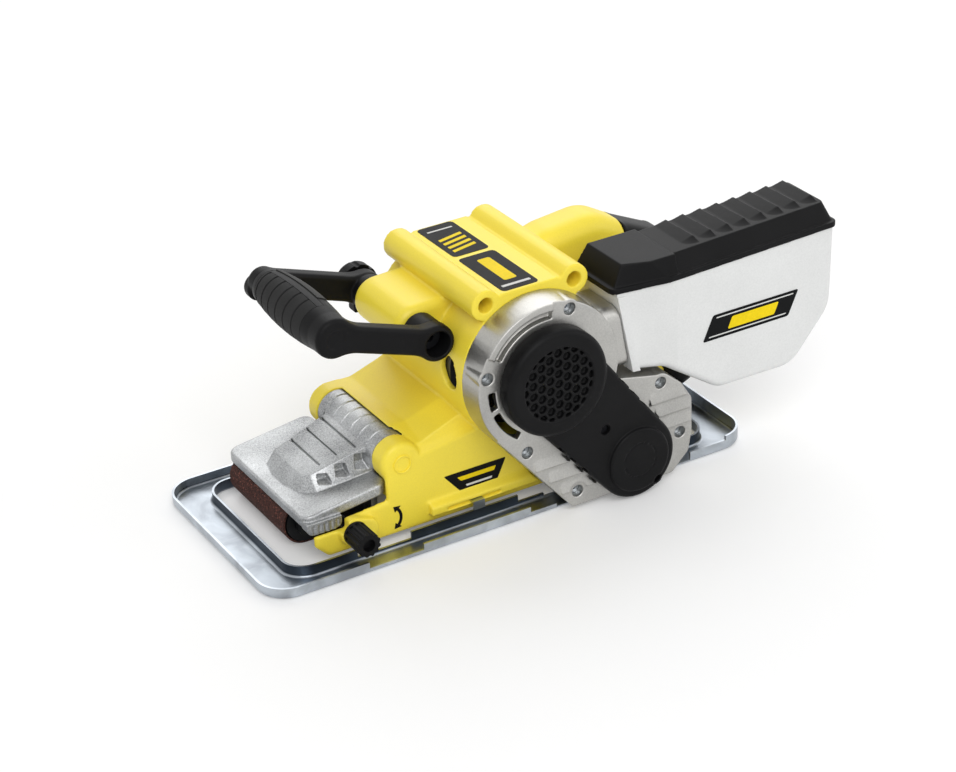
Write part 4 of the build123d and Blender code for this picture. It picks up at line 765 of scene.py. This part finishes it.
class SANDER_OT_ear_ring(bpy.types.Operator):
    """Moulded ring on the near ear, round the end of the hinge pin"""
    bl_idname = "sander.ear_ring"
    bl_label = "Ear ring"

    FACE = -70.0 * MM
    INNER = 5.1 * MM
    OUTER = 6.2 * MM
    PROUD = 0.95 * MM
    SUNK = 0.6 * MM
    ROUND_STEPS = 64

    def execute(self, context):
        axis_x, _, axis_z = JOINTS["cover_lift"]["pos_m"]
        crest = self.FACE - self.PROUD
        shoulder = crest + self.PROUD / 4
        ease = (self.OUTER - self.INNER) / 4
        root = self.FACE + self.SUNK
        bm = bmesh.new()
        profile = [(root, self.INNER), (shoulder, self.INNER), (crest, self.INNER + ease),
                   (crest, self.OUTER - ease), (shoulder, self.OUTER), (root, self.OUTER)]
        swept(bm, profile, axis_x, axis_z, 0, 360, self.ROUND_STEPS, 0)
        bmesh.ops.remove_doubles(bm, verts=bm.verts, dist=WELD)
        bmesh.ops.recalc_face_normals(bm, faces=bm.faces)
        place_piece(bm, "ear_ring", "base", ["yellow_shell"], 50)
        return {"FINISHED"}


class SANDER_OT_labels(bpy.types.Operator):
    """Plain printed panels with bars, in the places where the tool has labels"""
    bl_idname = "sander.labels"
    bl_label = "Labels"

    # Height of the saddle's top, and places of the near wall and of the box's near side, in millimetres.
    TOP = 155.0
    WALL = -70.0
    BOX = -104.0
    # How deep a patch is set into its surface, in millimetres, and how high film and ink stand on it.
    SUNK = 0.05
    FILM, INK = 1.0, 1.5
    BLACK, YELLOW, PALE = 0, 1, 2

    # Each patch below is its outline in millimetres, its height, the bend of its corners and its colour.
    SADDLE_NEAR = (
        (((21, -81), (47, -81), (47, -26), (21, -26)), FILM, 3, BLACK),
        (((24, -76), (44, -76), (44, -73.5), (24, -73.5)), INK, 0.4, PALE),
        (((30, -68), (39, -68), (39, -34), (30, -34)), INK, 1.5, YELLOW))
    SADDLE_FAR = (
        (((21, -22), (47, -22), (47, 26.5), (21, 26.5)), FILM, 3, BLACK),
        (((25, 18), (43, 18), (43, 19.5), (25, 19.5)), INK, 0.3, PALE))
    WALL_PATCHES = (
        (((-9.5, 20.5), (17, 20.5), (24, 34.5), (-21, 34.5)), FILM, 1.2, BLACK),
        (((-9, 28), (15, 28), (16.5, 31), (-11.5, 31)), INK, 0.4, YELLOW),
        (((-5, 23), (13, 23), (13.5, 24.4), (-5.7, 24.4)), INK, 0.3, PALE))
    BOX_PATCHES = (
        (((151, 91), (217, 91), (225, 108), (159, 108)), FILM, 1.5, BLACK),
        (((170, 95.5), (206, 95.5), (209.5, 103.5), (173.5, 103.5)), INK, 1.0, YELLOW))
    # The slanted bars on the far saddle panel: places along y, one bar's outline and its bend.
    BAR_PLACES = (-16, -10, -4, 2)
    BAR = ((25, 0), (43, 4), (43, 7), (25, 3))
    BAR_BEND = 0.4
    # The thin lines on the box: heights, one line's outline and bend, and the panel's foot, height and lean.
    LINE_PLACES = (93.0, 105.4)
    LINE = ((154.5, 0), (214, 0), (214.3, 0.8), (154.8, 0.8))
    LINE_BEND = 0.2
    BOX_FOOT, BOX_HEIGHT, BOX_LEAN = 91, 17, 8
    # The steering arrow: middle, radius, half width of its band and of its heads, and the heads' angles.
    ARROW_X, ARROW_Z, ARROW_RADIUS = -61.0, 17.3, 8.6
    ARROW_BAND, ARROW_HEAD = 1.0, 2.8
    ARROW_ROOT, ARROW_TIP = math.radians(40), math.radians(66)
    ARROW_STEPS = 14

    def execute(self, context):
        self.proud = context.scene.sander_sizes.label_proud
        self.top_panel("saddle_panel_near", self.SADDLE_NEAR)
        self.top_panel("saddle_panel_far", self.SADDLE_FAR + self.slanted_bars())
        self.side_panel("wall_panel", "base", self.WALL, self.WALL_PATCHES)
        self.side_panel("box_panel", "box", self.BOX, self.BOX_PATCHES + self.thin_lines())
        self.steer_arrow()
        return {"FINISHED"}

    def lift(self, level):
        """How far a patch is raised from where it is set into its surface."""
        return self.SUNK * MM + self.proud * level

    def finish_panel(self, bm, name, body):
        """Turns the patches outwards and makes them one piece."""
        bmesh.ops.recalc_face_normals(bm, faces=bm.faces)
        place_piece(bm, name, body, ["label_black", "label_stripe", "label_pale"])

    def top_panel(self, name, patches):
        """A panel on the saddle, its outlines given as x and y."""
        bm = bmesh.new()
        for outline, level, bend, material in patches:
            corners = [(x * MM, y * MM, self.TOP * MM - self.SUNK * MM) for x, y in outline]
            film(bm, corners, (0, 0, 1), self.lift(level), bend * MM, material)
        self.finish_panel(bm, name, "base")

    def side_panel(self, name, body, wall, patches):
        """A panel on a near wall, its outlines given as x and z."""
        bm = bmesh.new()
        for outline, level, bend, material in patches:
            corners = [(x * MM, wall * MM + self.SUNK * MM, z * MM) for x, z in outline]
            film(bm, corners, (0, -1, 0), self.lift(level), bend * MM, material)
        self.finish_panel(bm, name, body)

    def inked(self, outline, shift, bend, colour):
        """A patch of ink, moved to its place."""
        return (tuple((a + shift[0], b + shift[1]) for a, b in outline), self.INK, bend, colour)

    def slanted_bars(self):
        """Yellow bars side by side on the far saddle panel."""
        return tuple(self.inked(self.BAR, (0, y), self.BAR_BEND, self.YELLOW) for y in self.BAR_PLACES)

    def thin_lines(self):
        """Pale lines along the box panel, which follow its lean."""
        leans = [(z - self.BOX_FOOT) / self.BOX_HEIGHT * self.BOX_LEAN for z in self.LINE_PLACES]
        return tuple(self.inked(self.LINE, place, self.LINE_BEND, self.PALE)
                     for place in zip(leans, self.LINE_PLACES))

    def steer_arrow(self):
        """Curved double arrow beside the steering knob."""
        wall = self.WALL * MM + self.SUNK * MM
        radius, root = self.ARROW_RADIUS, self.ARROW_ROOT

        def at(radial, turn):
            """A corner at a radius and an angle from the arrow's middle."""
            x = self.ARROW_X + radial * math.cos(turn)
            z = self.ARROW_Z + radial * math.sin(turn)
            return (x * MM, wall, z * MM)

        bm = bmesh.new()
        ends = [bm.verts.new(at(radius + side * self.ARROW_BAND, -root)) for side in (-1, 1)]
        edge = bm.edges.new(ends)
        bmesh.ops.spin(bm, geom=ends + [edge], cent=(self.ARROW_X * MM, 0, self.ARROW_Z * MM),
                       axis=(0, -1, 0), angle=2 * root, steps=self.ARROW_STEPS,
                       use_duplicate=False, use_merge=False)
        for side in (-1, 1):
            bm.faces.new([bm.verts.new(at(radius + self.ARROW_HEAD, side * root)),
                          bm.verts.new(at(radius, side * self.ARROW_TIP)),
                          bm.verts.new(at(radius - self.ARROW_HEAD, side * root))])
        raised = bmesh.ops.extrude_face_region(bm, geom=bm.faces[:], use_keep_orig=True)
        moved = [item for item in raised["geom"] if isinstance(item, bmesh.types.BMVert)]
        bmesh.ops.translate(bm, verts=moved, vec=(0, -self.lift(self.FILM), 0))
        self.finish_panel(bm, "steer_arrow", "base")


class SANDER_PT_panel(bpy.types.Panel):
    """Lists the steps that dress the sander"""
    bl_idname = "SANDER_PT_panel"
    bl_label = "Belt sander"
    bl_space_type = "VIEW_3D"
    bl_region_type = "UI"
    bl_category = "Sander"

    def draw(self, context):
        for step in STEPS:
            self.layout.operator(step.bl_idname)
        for group in (context.scene.sander_sizes, context.scene.sander_colours):
            for name in group.__annotations__:
                self.layout.prop(group, name)


STEPS = (SANDER_OT_stage, SANDER_OT_finishes, SANDER_OT_housing, SANDER_OT_castings, SANDER_OT_pressing,
         SANDER_OT_black_pieces, SANDER_OT_front_grip, SANDER_OT_spring, SANDER_OT_ear_ring, SANDER_OT_labels)
CLASSES = (SanderSizes, SanderColours) + STEPS + (SANDER_PT_panel,)


def register():
    for item in CLASSES:
        bpy.utils.register_class(item)
    bpy.types.Scene.sander_sizes = PointerProperty(type=SanderSizes)
    bpy.types.Scene.sander_colours = PointerProperty(type=SanderColours)


def unregister():
    del bpy.types.Scene.sander_colours
    del bpy.types.Scene.sander_sizes
    for item in reversed(CLASSES):
        bpy.utils.unregister_class(item)


def main():
    register()
    bpy.ops.sander.stage()
    bpy.ops.sander.finishes()
    bpy.ops.sander.housing()
    bpy.ops.sander.castings()
    bpy.ops.sander.pressing()
    bpy.ops.sander.black_pieces()
    bpy.ops.sander.front_grip()
    bpy.ops.sander.spring()
    bpy.ops.sander.ear_ring()
    bpy.ops.sander.labels()


if __name__ == "__main__":
    main()
